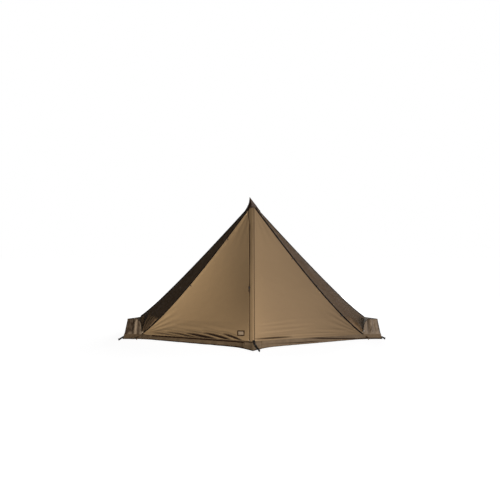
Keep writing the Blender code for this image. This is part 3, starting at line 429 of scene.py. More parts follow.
def wrinkle(*place):
    """Smooth noise from about -1 to 1 at a place given by its three coordinates."""
    return noise.noise(Vector(place))


def inside_seams(a, b, share):
    """The point a share of the way from one seam to another, kept just inside both."""
    span = (b - a).length
    return a.lerp(b, (SEAM_GAP + (span - 2 * SEAM_GAP) * share) / span)


def side_name(side):
    return "left" if side < 0 else "right"


print("ridge", round(RIDGE_LENGTH, 3), "m, side seam", round((seam_foot(1) - PEAK).length, 3), "m")

# %% [markdown]
# Every panel is made the same way: a grid is added, each point is put on the panel's surface, and a
# Solidify modifier gives the cloth a wall. The UV map comes from the panel's flat pattern in metres, so the
# weave keeps its size. There is no simulation, because a pitched tent is tension and not drape: its lines
# are known, and the folds are few.

# %% Helper that lays cloth
def deselect_all():
    bpy.ops.object.select_all(action="DESELECT")


def lay_cloth(name, surface, columns, rows, finish, flat=None, lay=None, thickness=CLOTH,
              outside=None, fold=None):
    """Cloth on surface(u, v), with its UV map in metres from flat sizes or from lay(u, v)."""
    deselect_all()
    bpy.ops.mesh.primitive_grid_add(x_subdivisions=columns, y_subdivisions=rows, size=1.0)
    piece = bpy.context.object
    piece.name = name
    mesh = piece.data
    mesh.name = name
    spots = [(vert.co.x + 0.5, vert.co.y + 0.5) for vert in mesh.vertices]
    lay = lay or (lambda u, v: (u * flat[0], v * flat[1]))
    layout = [lay(u, v) for u, v in spots]
    for loop, place in zip(mesh.loops, mesh.uv_layers[0].data):
        place.uv = layout[loop.vertex_index]
    mesh.uv_layers[0].name = "UVMap"
    for vert, (u, v) in zip(mesh.vertices, spots):
        vert.co = surface(u, v)
    # The fold attribute holds each point's painted shade, from 0 to 1.
    if fold:
        shade_values = mesh.attributes.new("fold", "FLOAT", "POINT")
        for depth, (u, v) in zip(shade_values.data, spots):
            depth.value = clamp(fold(u, v))
    mesh.update()
    middle = mesh.polygons[len(mesh.polygons) // 2]
    facing = outside or outwards(middle.normal, middle.center)
    if middle.normal.dot(facing) < 0:
        mesh.flip_normals()
    bpy.ops.object.shade_smooth()
    wall = piece.modifiers.new("cloth thickness", "SOLIDIFY")
    wall.thickness = thickness
    wall.offset = -1.0
    bpy.ops.object.modifier_apply(modifier=wall.name)
    mesh.materials.clear()
    mesh.materials.append(finishes[finish])
    return piece


def declare_sheet(piece):
    """Print a piece's cut, the rectangle round its UV map, and its area, what it covers."""
    places = [place.uv for place in piece.data.uv_layers[0].data]
    width = max(p.x for p in places) - min(p.x for p in places)
    length = max(p.y for p in places) - min(p.y for p in places)
    area = sum(face.area for face in piece.data.polygons) / 2
    if not 0.7 < area / (width * length) < 1.3:
        length = area / width
    print(piece.name, "cut", round(width, 3), "x", round(length, 3), "m, area", round(area, 3), "m2")


def sew_on(piece, node=None):
    """Leave a piece of cloth on the standing tent, in place of its solid, and print its cut and area."""
    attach(piece, "root")
    if node:
        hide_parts(node)
    declare_sheet(piece)


# %% [markdown]
# The doors are pulled flat between the ridge, the seams and the ground. What makes them look like cloth is
# small: a hollow in the middle, faint folds that fan from the corners, and deeper creases along the lower
# edge, where the skirt pulls. On the left they start at the sill and run up and away from the ridge; on
# the right they are fine and level. A crease is a groove with a raised lip: a dark side and a light side,
# with painted shade in the groove.

# %% Creases of the doors
CREASES = {
    # start across, start above the sill, end across, end above the sill, depth, width, painted shade
    -1: (
        (0.130, -0.004, 0.37, 0.072, 0.012, 0.013, 1.3),
        (0.270, 0.000, 0.62, 0.072, 0.015, 0.014, 1.4),
        (0.450, -0.002, 0.84, 0.053, 0.016, 0.015, 1.5),
        (0.660, 0.002, 1.10, 0.054, 0.014, 0.012, 1.0),
        (0.880, 0.004, 1.33, 0.042, 0.010, 0.010, 0.70),
        (0.160, 0.060, 0.62, 0.145, 0.005, 0.020, 0.10),
        (0.520, 0.085, 1.02, 0.125, 0.004, 0.020, 0.10),
    ),
    1: (
        (0.030, 0.024, 0.47, 0.024, 0.007, 0.010, 1.0),
        (0.420, 0.030, 1.10, 0.026, 0.004, 0.010, 0.25),
        (0.800, 0.066, 1.30, 0.040, 0.004, 0.013, 0.20),
        (0.100, 0.074, 0.64, 0.096, 0.003, 0.012, 0.12),
        (0.180, 0.130, 0.74, 0.145, 0.0025, 0.014, 0.08),
        (0.080, 0.165, 0.50, 0.195, 0.0020, 0.014, 0.06),
    ),
}
BOW = {-1: -0.046, 1: 0.016}
BOW_START = 0.055
ZIP_ROOM, ZIP_ROOM_END = 0.0456, FOLD_TOP + 0.025
SEAM_END = 0.9985


def crease(across, height, start_x, start_h, end_x, end_h, depth, width, dark):
    """One crease: how far it moves the cloth, in along its groove and out on its lip, and how much painted
    shade its groove gets.
    """
    t = (across - start_x) / (end_x - start_x)
    if not -0.08 < t < 1.08:
        return 0.0, 0.0
    middle = start_h + (end_h - start_h) * max(0.0, t) ** 0.85
    fade = max(0.0, arch(clamp((t + 0.08) / 1.16))) ** 0.6
    off = (height - middle) / width
    return depth * fade * (0.8 * groove(off - 1.5, 1.0) - groove(off, 1.0)), dark * fade * groove(off, 1.0)


def above_sill(across, along):
    return (along - across * SILL_SLOPE) * 0.95


def door_relief(side, across, along):
    """How far a door's cloth stands off its plane."""
    height = above_sill(across, along)
    width = max(0.05, seam_across(along))
    share = clamp((across - BOW_START) / max(0.05, width - BOW_START))
    strength = clamp(height / 0.22) * width / FOOT_ACROSS
    lift = BOW[side] * 4 * share * (1 - share) * strength ** 0.8
    for line in CREASES[side]:
        lift += crease(across, height, *line)[0]
    away = Vector((across - FOOT_ACROSS, along - FOOT_ALONG))
    turn = math.atan2(away.y, -away.x)
    lift += 0.0022 * math.sin(turn * 34 + side) * bump_at(away.length - 0.30, 0.30)
    down_peak = Vector((across, RIDGE_LENGTH - along))
    turn = math.atan2(down_peak.x, down_peak.y)
    lift += 0.0012 * math.sin(turn * 30) * bump_at(down_peak.length - 0.35, 0.33)
    wander = Vector((across * 2.3, along * 2.9, side * 7.0))
    lift += 0.0030 * noise.noise(wander) + 0.0009 * noise.noise(wander * 5)
    edge = min(1.0, height / 0.012, max(0.0, (width - across) / 0.05), max(0.0, (across - 0.03) / 0.03))
    return lift * max(0.0, edge)


def door_painted_shade(side, across, along):
    """How much painted shade a door's cloth gets: in its creases, towards the ridge on the left door, and
    lower down and near the seam on the right one.
    """
    height = above_sill(across, along)
    painted_shade = max(crease(across, height, *line)[1] for line in CREASES[side])
    share = min(1.0, across / max(0.05, seam_across(along)))
    if side < 0:
        return max(painted_shade, 0.38 * (1 - share) ** 1.2 * bump_at(along - 0.58, 0.82))
    near_seam = 0.08 * share + 0.25 * share ** 2 * bump_at(height, 0.45)
    return max(painted_shade, 0.11 * bump_at(along - 0.5, 0.9) + near_seam)


def door_edge_in(side, along):
    """How far from the ridge a door's cloth begins: the left one leaves room for the zip."""
    return SEAM_GAP + (ZIP_ROOM * clamp((ZIP_ROOM_END - along) / 0.03) if side < 0 else 0.0)


def door_layout(side):
    """The flat pattern of a door: (across, along) for u from the ridge to the seam and v up."""
    top_t = at_depth(seam, side, TOP_DEPTH)
    ring = RIDGE_LENGTH - TOP_DEPTH / UP_RIDGE.z

    def lay(u, v):
        share = 0.35 * v + 0.65 * v ** 1.9
        t = SEAM_END + (top_t - SEAM_END) * share
        outer = seam_flat(t) - SEAM_GAP * CHORD_SIDE
        along = ring * share
        start = door_edge_in(side, along)
        along += start * SILL_SLOPE * (1 - share)
        return Vector((start, along)).lerp(outer, u)

    return lay


def fold_blend(piece):
    """Bake a piece's placement into its mesh, so that it stays where it was laid."""
    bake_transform(piece)


def make_door(side):
    name, lay = side_name(side), door_layout(side)

    def surface(u, v):
        across, along = lay(u, v)
        return door_point(side, across, along, door_relief(side, across, along))

    door = lay_cloth(name + "_door_cloth", surface, 130, 170, "door_cloth", lay=lay,
                     fold=lambda u, v: door_painted_shade(side, *lay(u, v)))
    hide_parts(name + "_door", name + "_door_edge")
    declare_sheet(door)
    fold_blend(door)


for side in (-1, 1):
    make_door(side)

# %% [markdown]
# The side roofs run from the side seams back to the hips. The spare cloth gathers in pleats that fan up
# from the seam's foot, and the panel rolls over a little towards the hip. The left pleats are narrow and
# end at one height, and the right ones are wide and soft. Painted shade darkens the left panel and one side
# of each left pleat, so the pleats read as lit stripes under a dark panel, and lies lighter on the right
# one. A pleat follows a sine of the angle round the foot, and the grid is finer there, where the pleats lie
# close.

# %% Side roofs
LEFT_PLEATS, LIT_TURN, RIGHT_PLEATS = 24.0, 1.215, 11.0
GATHERS_TOP, GATHERS_FADE = 0.240, 0.035
ROOF_CUT = 0.98, 1.95


def round_foot(side, point):
    """How far a point of the roof is from the seam's foot, and its angle there from the seam."""
    foot = seam_foot(side)
    up = (PEAK - foot).normalized()
    back = rear_corner(side) - foot
    back = (back - back.dot(up) * up).normalized()
    off = point - foot
    return off.length, math.atan2(off.dot(back), off.dot(up))


def in_gathers(point):
    """1 in the gathered strip at the foot of the left roof and 0 above it."""
    return clamp((GATHERS_TOP - point.z) / GATHERS_FADE)


def roof_pleat(side, point):
    """The pleats that fan up from a seam's foot, from -1 to 1."""
    far, turn = round_foot(side, point)
    start = min(1.0, far / 0.05) * clamp(turn / 0.12)
    if side < 0:
        wave = math.sin(LEFT_PLEATS * (turn - LIT_TURN))
        return start * in_gathers(point) * bump_at(far - 0.2, 0.6) * wave
    return start * bump_at(far - 0.16, 0.24) * math.sin(RIGHT_PLEATS * turn + 0.4)


def roof_painted_shade(side, point):
    """How much painted shade the side roof gets: the left one is painted dark but for its pleats' lit sides
    at the foot.
    """
    far, turn = round_foot(side, point)
    mottle = 0.10 * noise.noise(point * 5.0)
    if side < 0:
        near = in_gathers(point)
        tone = max(-1.0, min(1.0, 1.6 * math.cos(LEFT_PLEATS * (turn - LIT_TURN))))
        return 0.72 * (1 - near) + near * (0.42 - 0.60 * tone) + mottle
    near = bump_at(far, 0.34)
    return 0.26 * (1 - near) - near * (0.04 + 0.15 * roof_pleat(side, point)) + mottle


def make_side_roof(side):
    seam_top, hip_top = at_depth(seam, side, TOP_DEPTH), at_depth(hip, side, TOP_DEPTH)
    normal = outwards((seam_foot(side) - PEAK).cross(rear_corner(side) - PEAK), rear_corner(side))

    def crowd(u, v):
        """Move the grid's rows and columns together towards the seam's foot."""
        return u ** 1.5, v ** 1.6

    def lay(u, v):
        u, v = crowd(u, v)
        return ROOF_CUT[0] * u, ROOF_CUT[1] * v

    def flat_place(u, v):
        a = seam(side, seam_top + (1 - seam_top) * (1 - v))
        b = hip(side, hip_top + (1 - hip_top) * (1 - v))
        return inside_seams(a, b, u)

    def surface(u, v):
        u, v = crowd(u, v)
        point = flat_place(u, v)
        far, _ = round_foot(side, point)
        middle = arch(u)
        roll = (1 - v) * (0.009 * middle + 0.004 * bump_at(u - 0.84, 0.16))
        soft = 0.006 * noise.noise(point * 3.1) * middle + 0.0025 * noise.noise(point * 13) * middle
        pleat = (0.034 * min(0.7, far) if side < 0 else 0.009) * roof_pleat(side, point)
        return point + (pleat * min(1.0, middle * 6) + roll + soft) * normal

    def fold(u, v):
        u, v = crowd(u, v)
        # Painted shade: a dark band along the hip.
        hip_shade = 1.1 * groove(1 - u, 0.055 if side < 0 else 0.085)
        return max(roof_painted_shade(side, flat_place(u, v)), hip_shade)

    name = side_name(side) + "_side_roof"
    roof = lay_cloth(name + "_cloth", surface, 110, 170, "roof_cloth", lay=lay, fold=fold)
    sew_on(roof, name)


for side in (-1, 1):
    make_side_roof(side)

# %% [markdown]
# Below the roof a low wall stands round the tent. Its front end is pulled out into an ear with uneven
# upright pleats, as gathered cloth has, and a shelf turns in at its top. The wall is laid from its sill up
# and over to the crease under the roof. A gusset closes the gap behind the seam's foot.

# %% Side walls with their ears
EAR_SHARE = 0.25
UPRIGHT = 0.62
SHELF_HOLLOW = 0.030
EAR_COLUMNS, SIDE_COLUMNS = 60, 50
WALL_START, WALL_END = 0.002, 0.9996
TOWARDS_FRONT = Vector((0.0, -1.0, 0.0))
EAR_PLEATS = {
    # depth, place and width of each upright pleat, as shares of the ear's width
    -1: ((0.016, 0.36, 0.20), (-0.014, 0.62, 0.12), (0.010, 0.80, 0.10), (-0.010, 0.12, 0.10)),
    1: ((-0.020, 0.30, 0.11), (0.012, 0.50, 0.12), (0.008, 0.84, 0.10), (-0.008, 0.68, 0.09)),
}


def past_ear(start, ear, corner, t):
    """A point on the bent line from the seam foot to the ear and on to the rear corner."""
    if t < EAR_SHARE:
        return start.lerp(ear, t / EAR_SHARE)
    return ear.lerp(corner, (t - EAR_SHARE) / (1 - EAR_SHARE))


def sill(side, t):
    ear = Vector((side * 1.455, -0.16, SILL_HEIGHT))
    return past_ear(seam_foot(side), ear, Vector((side * 1.437, 0.83, SILL_HEIGHT)), t)


def wall_top(side, t):
    top = past_ear(seam_foot(side), ear_top(side), rear_corner(side), t)
    if t < EAR_SHARE:
        raised = min(1.0, t / EAR_SHARE / 0.32) ** 0.22
        top.z = SILL_HEIGHT + (ear_top(side).z - SILL_HEIGHT) * raised
    return top


def hem(side, t):
    start = Vector((side * 1.27, -0.21, HEM_LIFT))
    ear = Vector((side * 1.468, -0.20, HEM_LIFT))
    return past_ear(start, ear, Vector((side * 1.487, 0.88, HEM_LIFT)), t)


def ear_pleats(side, share, height):
    """How far the gathered cloth of an ear stands forward at a share of its width."""
    folds = sum(depth * bump_at(share - middle, width) for depth, middle, width in EAR_PLEATS[side])
    return folds + 0.004 * wrinkle(share * 9.0, height * 3.0, side * 3.0)


def ear_painted_shade(side, share, height):
    """How much painted shade an ear's front gets: dark upright lines and a band of painted light, different
    on each side.
    """
    mottle = 0.22 * wrinkle(share * 7.0, height * 5.0, side * 4.0)
    edge = 0.8 * groove(share - 1.0, 0.05)
    if side < 0:
        open_cloth = 0.80 - 0.80 * bump_at(share - 0.36, 0.15) - 0.50 * bump_at(share - 0.06, 0.10)
        open_cloth -= 0.40 * bump_at(share - 0.66, 0.22) * bump_at(height, 0.22)
        painted_shade = max(0.9 * groove(share - 0.21, 0.05), 0.8 * groove(share - 0.86 + 0.5 * height, 0.06))
        return max(edge, painted_shade, open_cloth + mottle)
    upright = 0.8 * groove(share - 0.30, 0.07) * (0.5 + 0.5 * height)
    slant = 0.6 * groove(share - 0.30 - 0.43 * height, 0.04) * bump_at(height - 0.3, 0.5)
    short = 0.5 * groove(share - 0.52, 0.03) * bump_at(height - 0.22, 0.22)
    return max(edge, upright, slant, short, 0.14 + mottle)


def shelf_painted_shade(side, point):
    """The same painted shade, in lines running back over the shelf."""
    off = abs(point.x) - 1.322 - 0.16 * (point.y + 0.15)
    mottle = 0.15 * noise.noise(point * 14.0)
    if side < 0:
        return max(0.9 * groove(off + 0.026, 0.009), 0.62 - 0.7 * bump_at(off - 0.004, 0.026) + mottle)
    return max(0.5 * groove(off, 0.013), 0.5 * mottle)


def make_side_wall(side):
    def way_round(u):
        column = u * (EAR_COLUMNS + SIDE_COLUMNS)
        if column < EAR_COLUMNS:
            return WALL_START + (EAR_SHARE - WALL_START) * column / EAR_COLUMNS
        return EAR_SHARE + (WALL_END - EAR_SHARE) * (column - EAR_COLUMNS) / SIDE_COLUMNS

    def flat_place(u, v):
        t = way_round(u)
        low, top = sill(side, t) + SILL_GAP * UP, wall_top(side, t)
        back = seam_foot(side).lerp(rear_corner(side), t)
        back = back + Vector((-side * 0.010, 0.0, 0.012 * min(1.0, t / 0.04)))
        return low.lerp(top, v / UPRIGHT) if v < UPRIGHT else top.lerp(back, (v - UPRIGHT) / (1 - UPRIGHT))

    def surface(u, v):
        t, height = way_round(u), min(1.0, v / UPRIGHT)
        point = flat_place(u, v)
        share = t / EAR_SHARE
        if v > UPRIGHT:
            hollow = arch((v - UPRIGHT) / (1 - UPRIGHT)) * bump_at(share - 1.0, 1.6)
            point.z -= SHELF_HOLLOW * hollow * min(1.0, share * 2)
        if share < 1:
            stands = arch(min(1.0, share * 1.04)) ** 0.5 * min(1.0, v * 6, (1 - v) * 5)
            point.y -= max(0.0, stands) * ear_pleats(side, share, height)
            point.x -= side * 0.010 * arch(height) * bump_at(share - 1.0, 0.5)
        else:
            puff = arch((t - EAR_SHARE) / (1 - EAR_SHARE)) * arch(v)
            point.x += side * puff * (0.004 + 0.006 * wrinkle(t * 14.0, v * 2.0, side * 5.0))
        return point

    # Painted shade on the wall: a dark line under the roof's crease, the ear's and shelf's painted lines, and
    # random tone further back.
    def fold(u, v):
        share = way_round(u) / EAR_SHARE
        rim = 0.9 * groove(v - UPRIGHT, 0.025) * clamp((share - 0.3) / 0.15)
        if v > UPRIGHT:
            return max(rim, shelf_painted_shade(side, flat_place(u, v)))
        outside = 0.12 + 0.15 * wrinkle(u * 20.0, v * 3.0, side * 2.0)
        ear = ear_painted_shade(side, min(1.0, share), v / UPRIGHT)
        return max(rim, ear + (outside - ear) * clamp((share - 1.0) / 0.1))

    def gusset_place(u, v):
        return seam_foot(side) + Vector(((u - 0.5) * 0.044, 0.007 + 0.012 * v, (v - 0.2) * 0.040))

    name = side_name(side)
    wall = lay_cloth(name + "_side_wall_cloth", surface, EAR_COLUMNS + SIDE_COLUMNS, 44, "wall_cloth",
                     flat=(1.20, 0.34), fold=fold)
    sew_on(wall, name + "_side_wall")
    gusset = lay_cloth(name + "_foot_gusset", gusset_place, 6, 6, "wall_cloth", flat=(0.044, 0.042),
                       outside=TOWARDS_FRONT)
    sew_on(gusset)


for side in (-1, 1):
    make_side_wall(side)

# %% [markdown]
# The skirts close the gap to the ground. Their lower edge hangs free and waves, and the strap's peg pulls
# the front corner forward. Three pieces meet there: the corner, which stays pegged, and one skirt under
# each door. The corner's sides reach behind the door skirts, so that no gap shows.

# %% Skirts
CORNER_HALF, CORNER_UNDER = 0.09, 0.007
BEHIND_SILL, BEHIND_SKIRT, STEP_BACK = 0.0028, 0.0045, 0.004
UNDER_SILL = 0.007
FOLD_FOOT = SILL_SLOPE * fold_at(0.0) / (1 - SILL_SLOPE * CHORD.x / CHORD.y)
SEAM_LEAN = 1.26 / 1.49 - 0.01
FRONT_SHARE, EAR_TURN, TURN_END = 0.12, 0.34, 0.40


def flare(point):
    """How far forward the skirt is pulled near the front corner."""
    near = max(0.0, 1 - abs(point.x) / 0.252)
    return Vector((0.0, -0.19 * near * near, 0.0))


def skirt_wave(x, drop, seed):
    """The wave of a hanging skirt, from nothing at its seam to most at its hem."""
    wave = wrinkle(x * 9.0, seed, 0.0) + 0.4 * wrinkle(x * 27.0, seed, 3.0)
    return 0.011 * wave * drop


def skirt_painted_shade(side, u, v):
    """How much painted shade a door's skirt gets: a painted shadow line under the left sill, darker hems, and
    painted slanting and level fold lines on the right.
    """
    drop = 1 - v
    mottle = 0.16 * wrinkle(u * 26.0, v * 2.0, side * 9.0)
    if side < 0:
        under_sill = 1.3 * groove(drop - 0.27 + 0.09 * u, 0.11 + 0.08 * u)
        return max(under_sill, 1.2 * groove(v, 0.22), 0.46 + mottle)
    slant = clamp((u - 0.35) / 0.25) * groove(drop - 0.29 - 1.37 * (u - 0.627), 0.15)
    inner = min(1.0, u / 0.4)
    level = (0.25 + 0.65 * inner) * groove(drop - 0.50 - 0.20 * inner, 0.11) * (1 - clamp((u - 0.5) / 0.2))
    return max(slant, level, 0.7 * groove(v, 0.10), 0.18 + mottle)


def make_door_skirt(side):
    first = (CORNER_HALF + 0.0008) / abs(ACROSS[side].x)
    last = fold_at(FOLD_FOOT) - 0.0004

    def surface(u, v):
        across = first + u * (last - first)
        top = door_point(side, across, across * SILL_SLOPE + UNDER_SILL, -BEHIND_SILL)
        low = Vector((top.x + side * u * SEAM_LEAN * (top.z - HEM_LIFT), top.y, HEM_LIFT)) + flare(top)
        point = low.lerp(top, v)
        out = (skirt_wave(across, 1 - v, side) + 0.006 * arch(v)) * off_ends(u, 12)
        return point + Vector((NORMAL[side].x, NORMAL[side].y, 0.0)) * out

    name = side_name(side) + "_door_skirt"
    skirt = lay_cloth(name + "_cloth", surface, 110, 26, "skirt_cloth", flat=(1.22, 0.08),
                      fold=lambda u, v: skirt_painted_shade(side, u, v))
    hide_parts(name)
    declare_sheet(skirt)
    fold_blend(skirt)


def corner_point(x, v, lift=0.0):
    """A point of the front corner by its distance from the middle and its share of the height."""
    side = 1 if x > 0 else -1
    across = abs(x) / abs(ACROSS[side].x)
    behind = BEHIND_SILL + BEHIND_SKIRT * clamp((abs(x) - CORNER_HALF + STEP_BACK) / STEP_BACK)
    top = door_point(side, across, across * SILL_SLOPE + UNDER_SILL / 2, lift - behind)
    low = Vector((x, top.y, HEM_LIFT)) + flare(Vector((x, 0.0, 0.0)))
    point = low.lerp(top, v)
    point.y -= 0.005 * arch(v) * math.cos(x * 70) * bump_at(x, 0.1)
    return point


def make_corner():
    def surface(u, v):
        return corner_point((2 * u - 1) * (CORNER_HALF + CORNER_UNDER), v)

    # Painted shade: a dark line under the left sill and a dark hem, over random tone.
    def fold(u, v):
        mottle = 0.03 + 0.22 * wrinkle(u * 6.0, v * 4.0, 1.0)
        left_line = 0.9 * groove(v - 0.84, 0.07) * (1.0 if u < 0.5 else 0.3)
        return max(mottle, left_line, groove(v, 0.10))

    def strap_place(u, v):
        return corner_point(0.006 + 0.012 * (1 - v) + (u - 0.5) * 0.020, 0.58 + 0.46 * v, 0.0075)

    corner = lay_cloth("front_corner_cloth", surface, 48, 26, "skirt_cloth", flat=(0.21, 0.175), fold=fold)
    sew_on(corner, "front_corner_tab")
    strap = lay_cloth("front_strap_tab", strap_place, 6, 16, "loop_webbing",
                      flat=(0.020, 0.090), thickness=0.0016, outside=Vector((0.0, -1.0, 0.3)))
    sew_on(strap)


def make_side_skirt(side):
    foot = FOLD_FOOT + 0.0002
    start = door_point(side, fold_at(foot) - 0.006, foot, -0.004)

    def surface(u, v):
        if u < FRONT_SHARE:
            share = u / FRONT_SHARE
            low = Vector((start.x + side * 0.043, start.y - 0.002, HEM_LIFT)).lerp(hem(side, 0.0), share)
            top = start.lerp(seam_foot(side), share)
        else:
            t = (u - FRONT_SHARE) / (1 - FRONT_SHARE)
            low, top = hem(side, t), sill(side, t)
        inside = 0.003 * min(1.0, u / 0.02)
        top = top + Vector((-side * inside if u > EAR_TURN else 0.0, inside if u < TURN_END else 0.0, 0.006))
        point = low.lerp(top, v)
        wave = skirt_wave(u * 1.4, 1 - v, side * 4.0) * off_ends(u, 12)
        return point + Vector((side * wave, -abs(wave) if u < EAR_TURN else 0.0, 0.0))

    # Painted shade: a dark hem, and on the left a darker front part, over random tone.
    def fold(u, v):
        mottle = 0.20 * wrinkle(u * 40.0, v * 2.0, side * 5.0)
        front = 1.0 if u < EAR_TURN else 0.0
        if side < 0:
            return max(0.9 * groove(v, 0.24), 0.15 + 0.38 * front + mottle)
        return max(0.9 * groove(v - 0.12 * front, 0.18), 0.15 + mottle)

    name = side_name(side)
    skirt = lay_cloth(name + "_side_skirt_cloth", surface, 130, 16, "skirt_cloth", flat=(1.42, 0.075),
                      fold=fold)
    sew_on(skirt, name + "_side_skirt")


make_corner()
for side in (-1, 1):
    make_door_skirt(side)
    make_side_skirt(side)

# %% [markdown]
# The rear is not in the photograph. Tents of this kind have one large triangular panel there, over a low
# wall and a skirt. It gets the same soft hollow and wrinkles as the front.

# %% Rear roof, wall and skirt
def make_rear():
    top = at_depth(hip, 1, TOP_DEPTH)
    normal = outwards((rear_corner(1) - PEAK).cross(rear_corner(-1) - PEAK), rear_corner(1))

    def roof(u, v):
        t = top + (1 - top) * (1 - v)
        point = inside_seams(hip(1, t), hip(-1, t), u)
        middle = arch(u)
        sag = -0.010 * middle * (1 - v) * v * 4 + 0.004 * middle * noise.noise(point * 2.7)
        folds = 0.004 * math.sin(v * 150 + 6 * u) * bump_at(v - 0.03, 0.07) * middle
        return point + (sag + folds) * normal

    def rear_sill(u):
        return sill(1, 1.0).lerp(sill(-1, 1.0), u)

    def wall(u, v):
        high = rear_corner(1).lerp(rear_corner(-1), u) - 0.0010 * UP
        point = (rear_sill(u) + SILL_GAP * UP).lerp(high, v)
        point.y += off_ends(u, 10) * arch(v) * 0.010 * (0.3 + wrinkle(u * 22.0, v, 9.0))
        return point

    def skirt(u, v):
        point = hem(1, 1.0).lerp(hem(-1, 1.0), u).lerp(rear_sill(u), v)
        point.y += off_ends(u, 10) * skirt_wave(u * 2.8, 1 - v, 8.0)
        return point

    for name, surface, columns, rows, flat, finish in (
            ("rear_roof", roof, 110, 90, (2.8, 1.6), "roof_cloth"),
            ("rear_wall", wall, 150, 12, (2.84, 0.12), "wall_cloth"),
            ("rear_skirt", skirt, 150, 8, (2.9, 0.07), "skirt_cloth")):
        made = lay_cloth(name + "_cloth", surface, columns, rows, finish, flat=flat)
        sew_on(made, name)


make_rear()

# %% [markdown]
# Black tape is folded over the side seams and the hips: a strip whose middle row is on the seam and whose
# halves follow the panels on either side. On the hips the middle stands proud, over the two hems inside
# it, and draws the dark outline that the photograph shows.

# %% Seam and hip tapes
def tape_over(name, line, side, first, last, way_a, way_b, widths, node, stand=0.0):
    """A tape folded over a line, with its own width on each of the two panels; its middle may stand proud."""
    def surface(u, v):
        t = last + (first - last) * v
        point = line(side, t)
        run = line(side, min(1.0, t + 0.01)) - line(side, t - 0.01)
        a, b = way_a(t), way_b(t)
        lift_a, lift_b = outwards(run.cross(a), point), outwards(run.cross(b), point)
        lift = 0.0016 + 0.0004 * wrinkle(v * 60, u * 3, side)
        share = abs(2 * u - 1)
        near, way, width = (lift_a, a, widths[0]) if u < 0.5 else (lift_b, b, widths[1])
        between = (lift_a + lift_b).normalized()
        ridge = between * (lift / between.dot(near) + stand)
        return point + way * share * width + ridge.lerp(near * lift, min(1.0, share * 3))

    length = (line(side, first) - line(side, last)).length
    tape = lay_cloth(name, surface, 8, 120, "black_tape",
                     flat=(sum(widths) + 1.2 * stand, length))
    sew_on(tape, node)


def make_tapes(side):
    def to_ridge(t):
        return -(ACROSS[side] * CHORD_SIDE.x + UP_RIDGE * CHORD_SIDE.y)

    def to_hip(t):
        return (hip(side, t) - seam(side, t)).normalized()

    def to_seam(t):
        return -to_hip(t)

    def to_rear(t):
        return Vector((-side, 0.0, 0.0))

    name = side_name(side)
    # On the left hip the tape stands taller, so its black also covers the shade along that hip: partly
    # painted shade.
    on_door, stand = (0.018, 0.003) if side > 0 else (0.010, 0.009)
    tape_over(name + "_seam_binding", seam, side, at_depth(seam, side, 0.05), 0.998, to_ridge, to_hip,
              (on_door, 0.010), name + "_seam_tape")
    tape_over(name + "_hip_binding", hip, side, at_depth(hip, side, 0.08), 0.985, to_seam, to_rear,
              (0.026, 0.014), name + "_hip_tape", stand)


for side in (-1, 1):
    make_tapes(side)

# %% [markdown]
# A storm flap covers the zip: a band folded over the front ridge, sewn down on the right and free on the
# left, with dark bound edges that show as thin dark lines; their dark also stands in for the shadow along
# the flap's edges, so it is partly painted shade. The flap and its bindings follow the doors' planes.

# %% Storm flap and its bound edges
FLAP_RIGHT, FLAP_LEFT, FLAP_FOOT, FLAP_TOP = 0.020, 0.0395, -0.006, RIDGE_LENGTH - 0.058
FLAP_RIPPLE = 0.0012
ZIP_TOP, ZIP_FOOT, COIL_LINE = RIDGE_LENGTH - 0.27, 0.024, 0.043
MEAN_NORMAL = (NORMAL[1] + NORMAL[-1]).normalized()
OFF_RIDGE = MEAN_NORMAL / MEAN_NORMAL.dot(NORMAL[1])


def flap_place(across, along, lift):
    """A point over the ridge: across is negative on the left door and positive on the right one."""
    side = 1 if across > 0 else -1
    flat = door_point(side, abs(across), along) + NORMAL[side] * lift
    near = bump_at(across, 0.006)
    return flat.lerp(door_point(1, 0.0, along) + lift * OFF_RIDGE, near)


def sway(along):
    """How much wider the flap hangs than usual, as a share. It is narrow where the sliders park or stop."""
    wide = 0.30 * bump_at(along - 1.68, 0.15) - 0.16 * bump_at(along - 1.18, 0.35)
    return wide - 0.14 * bump_at(along - 0.655, 0.13) - 0.16 * bump_at(along - 1.48, 0.10)


def make_strip(name, left, right, lift, columns, finish, thickness=CLOTH, fold=None):
    """A strip along the ridge, from left to right of it, standing lift(across) off the doors."""
    def surface(u, v):
        across = left + (right - left) * u
        foot = FLAP_FOOT + abs(across) * SILL_SLOPE
        along = foot + v * (FLAP_TOP - foot)
        across *= 1 + (sway(along) if across < 0 else 0.0)
        ripple = FLAP_RIPPLE * wrinkle(across * 30, along * 5, 2.0)
        return flap_place(across, along, lift(across) + ripple)

    return lay_cloth(name, surface, columns, 140, finish, flat=(right - left, FLAP_TOP - FLAP_FOOT),
                     thickness=thickness, outside=MEAN_NORMAL, fold=fold)


def flap_lift(across):
    """The flap lies on the right door, rises over the ridge and stands off over the coil."""
    left = max(0.0, -across / FLAP_LEFT)
    return 0.0021 + 0.0024 * left ** 2 - 0.0012 * bump_at(across - FLAP_RIGHT, 0.004)


def flap_painted_shade(u, v):
    """The flap's cloth gets painted shade, most over the coil, and less on a strip right of the ridge, which
    reads as lit.
    """
    return 0.20 + 0.22 * groove(u - 0.22, 0.14) + 0.06 * wrinkle(u * 2.0, v * 14.0, 6.0)


flap = make_strip("storm_flap_cloth", -FLAP_LEFT, FLAP_RIGHT, flap_lift, 26, "door_cloth",
                  thickness=0.0010, fold=flap_painted_shade)
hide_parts("storm_flap")
declare_sheet(flap)
fold_blend(flap)
# The bindings' dark brown also stands in for the shadow along the flap's edges: partly painted shade.
for edge, left, right in (("left", -FLAP_LEFT - 0.0010, -FLAP_LEFT + 0.0045),
                          ("right", FLAP_RIGHT - 0.0050, FLAP_RIGHT + 0.0020)):
    binding = make_strip("flap_" + edge + "_binding", left, right, lambda across: flap_lift(across) + 0.0012,
                         4, "flap_binding")
    fold_blend(binding)

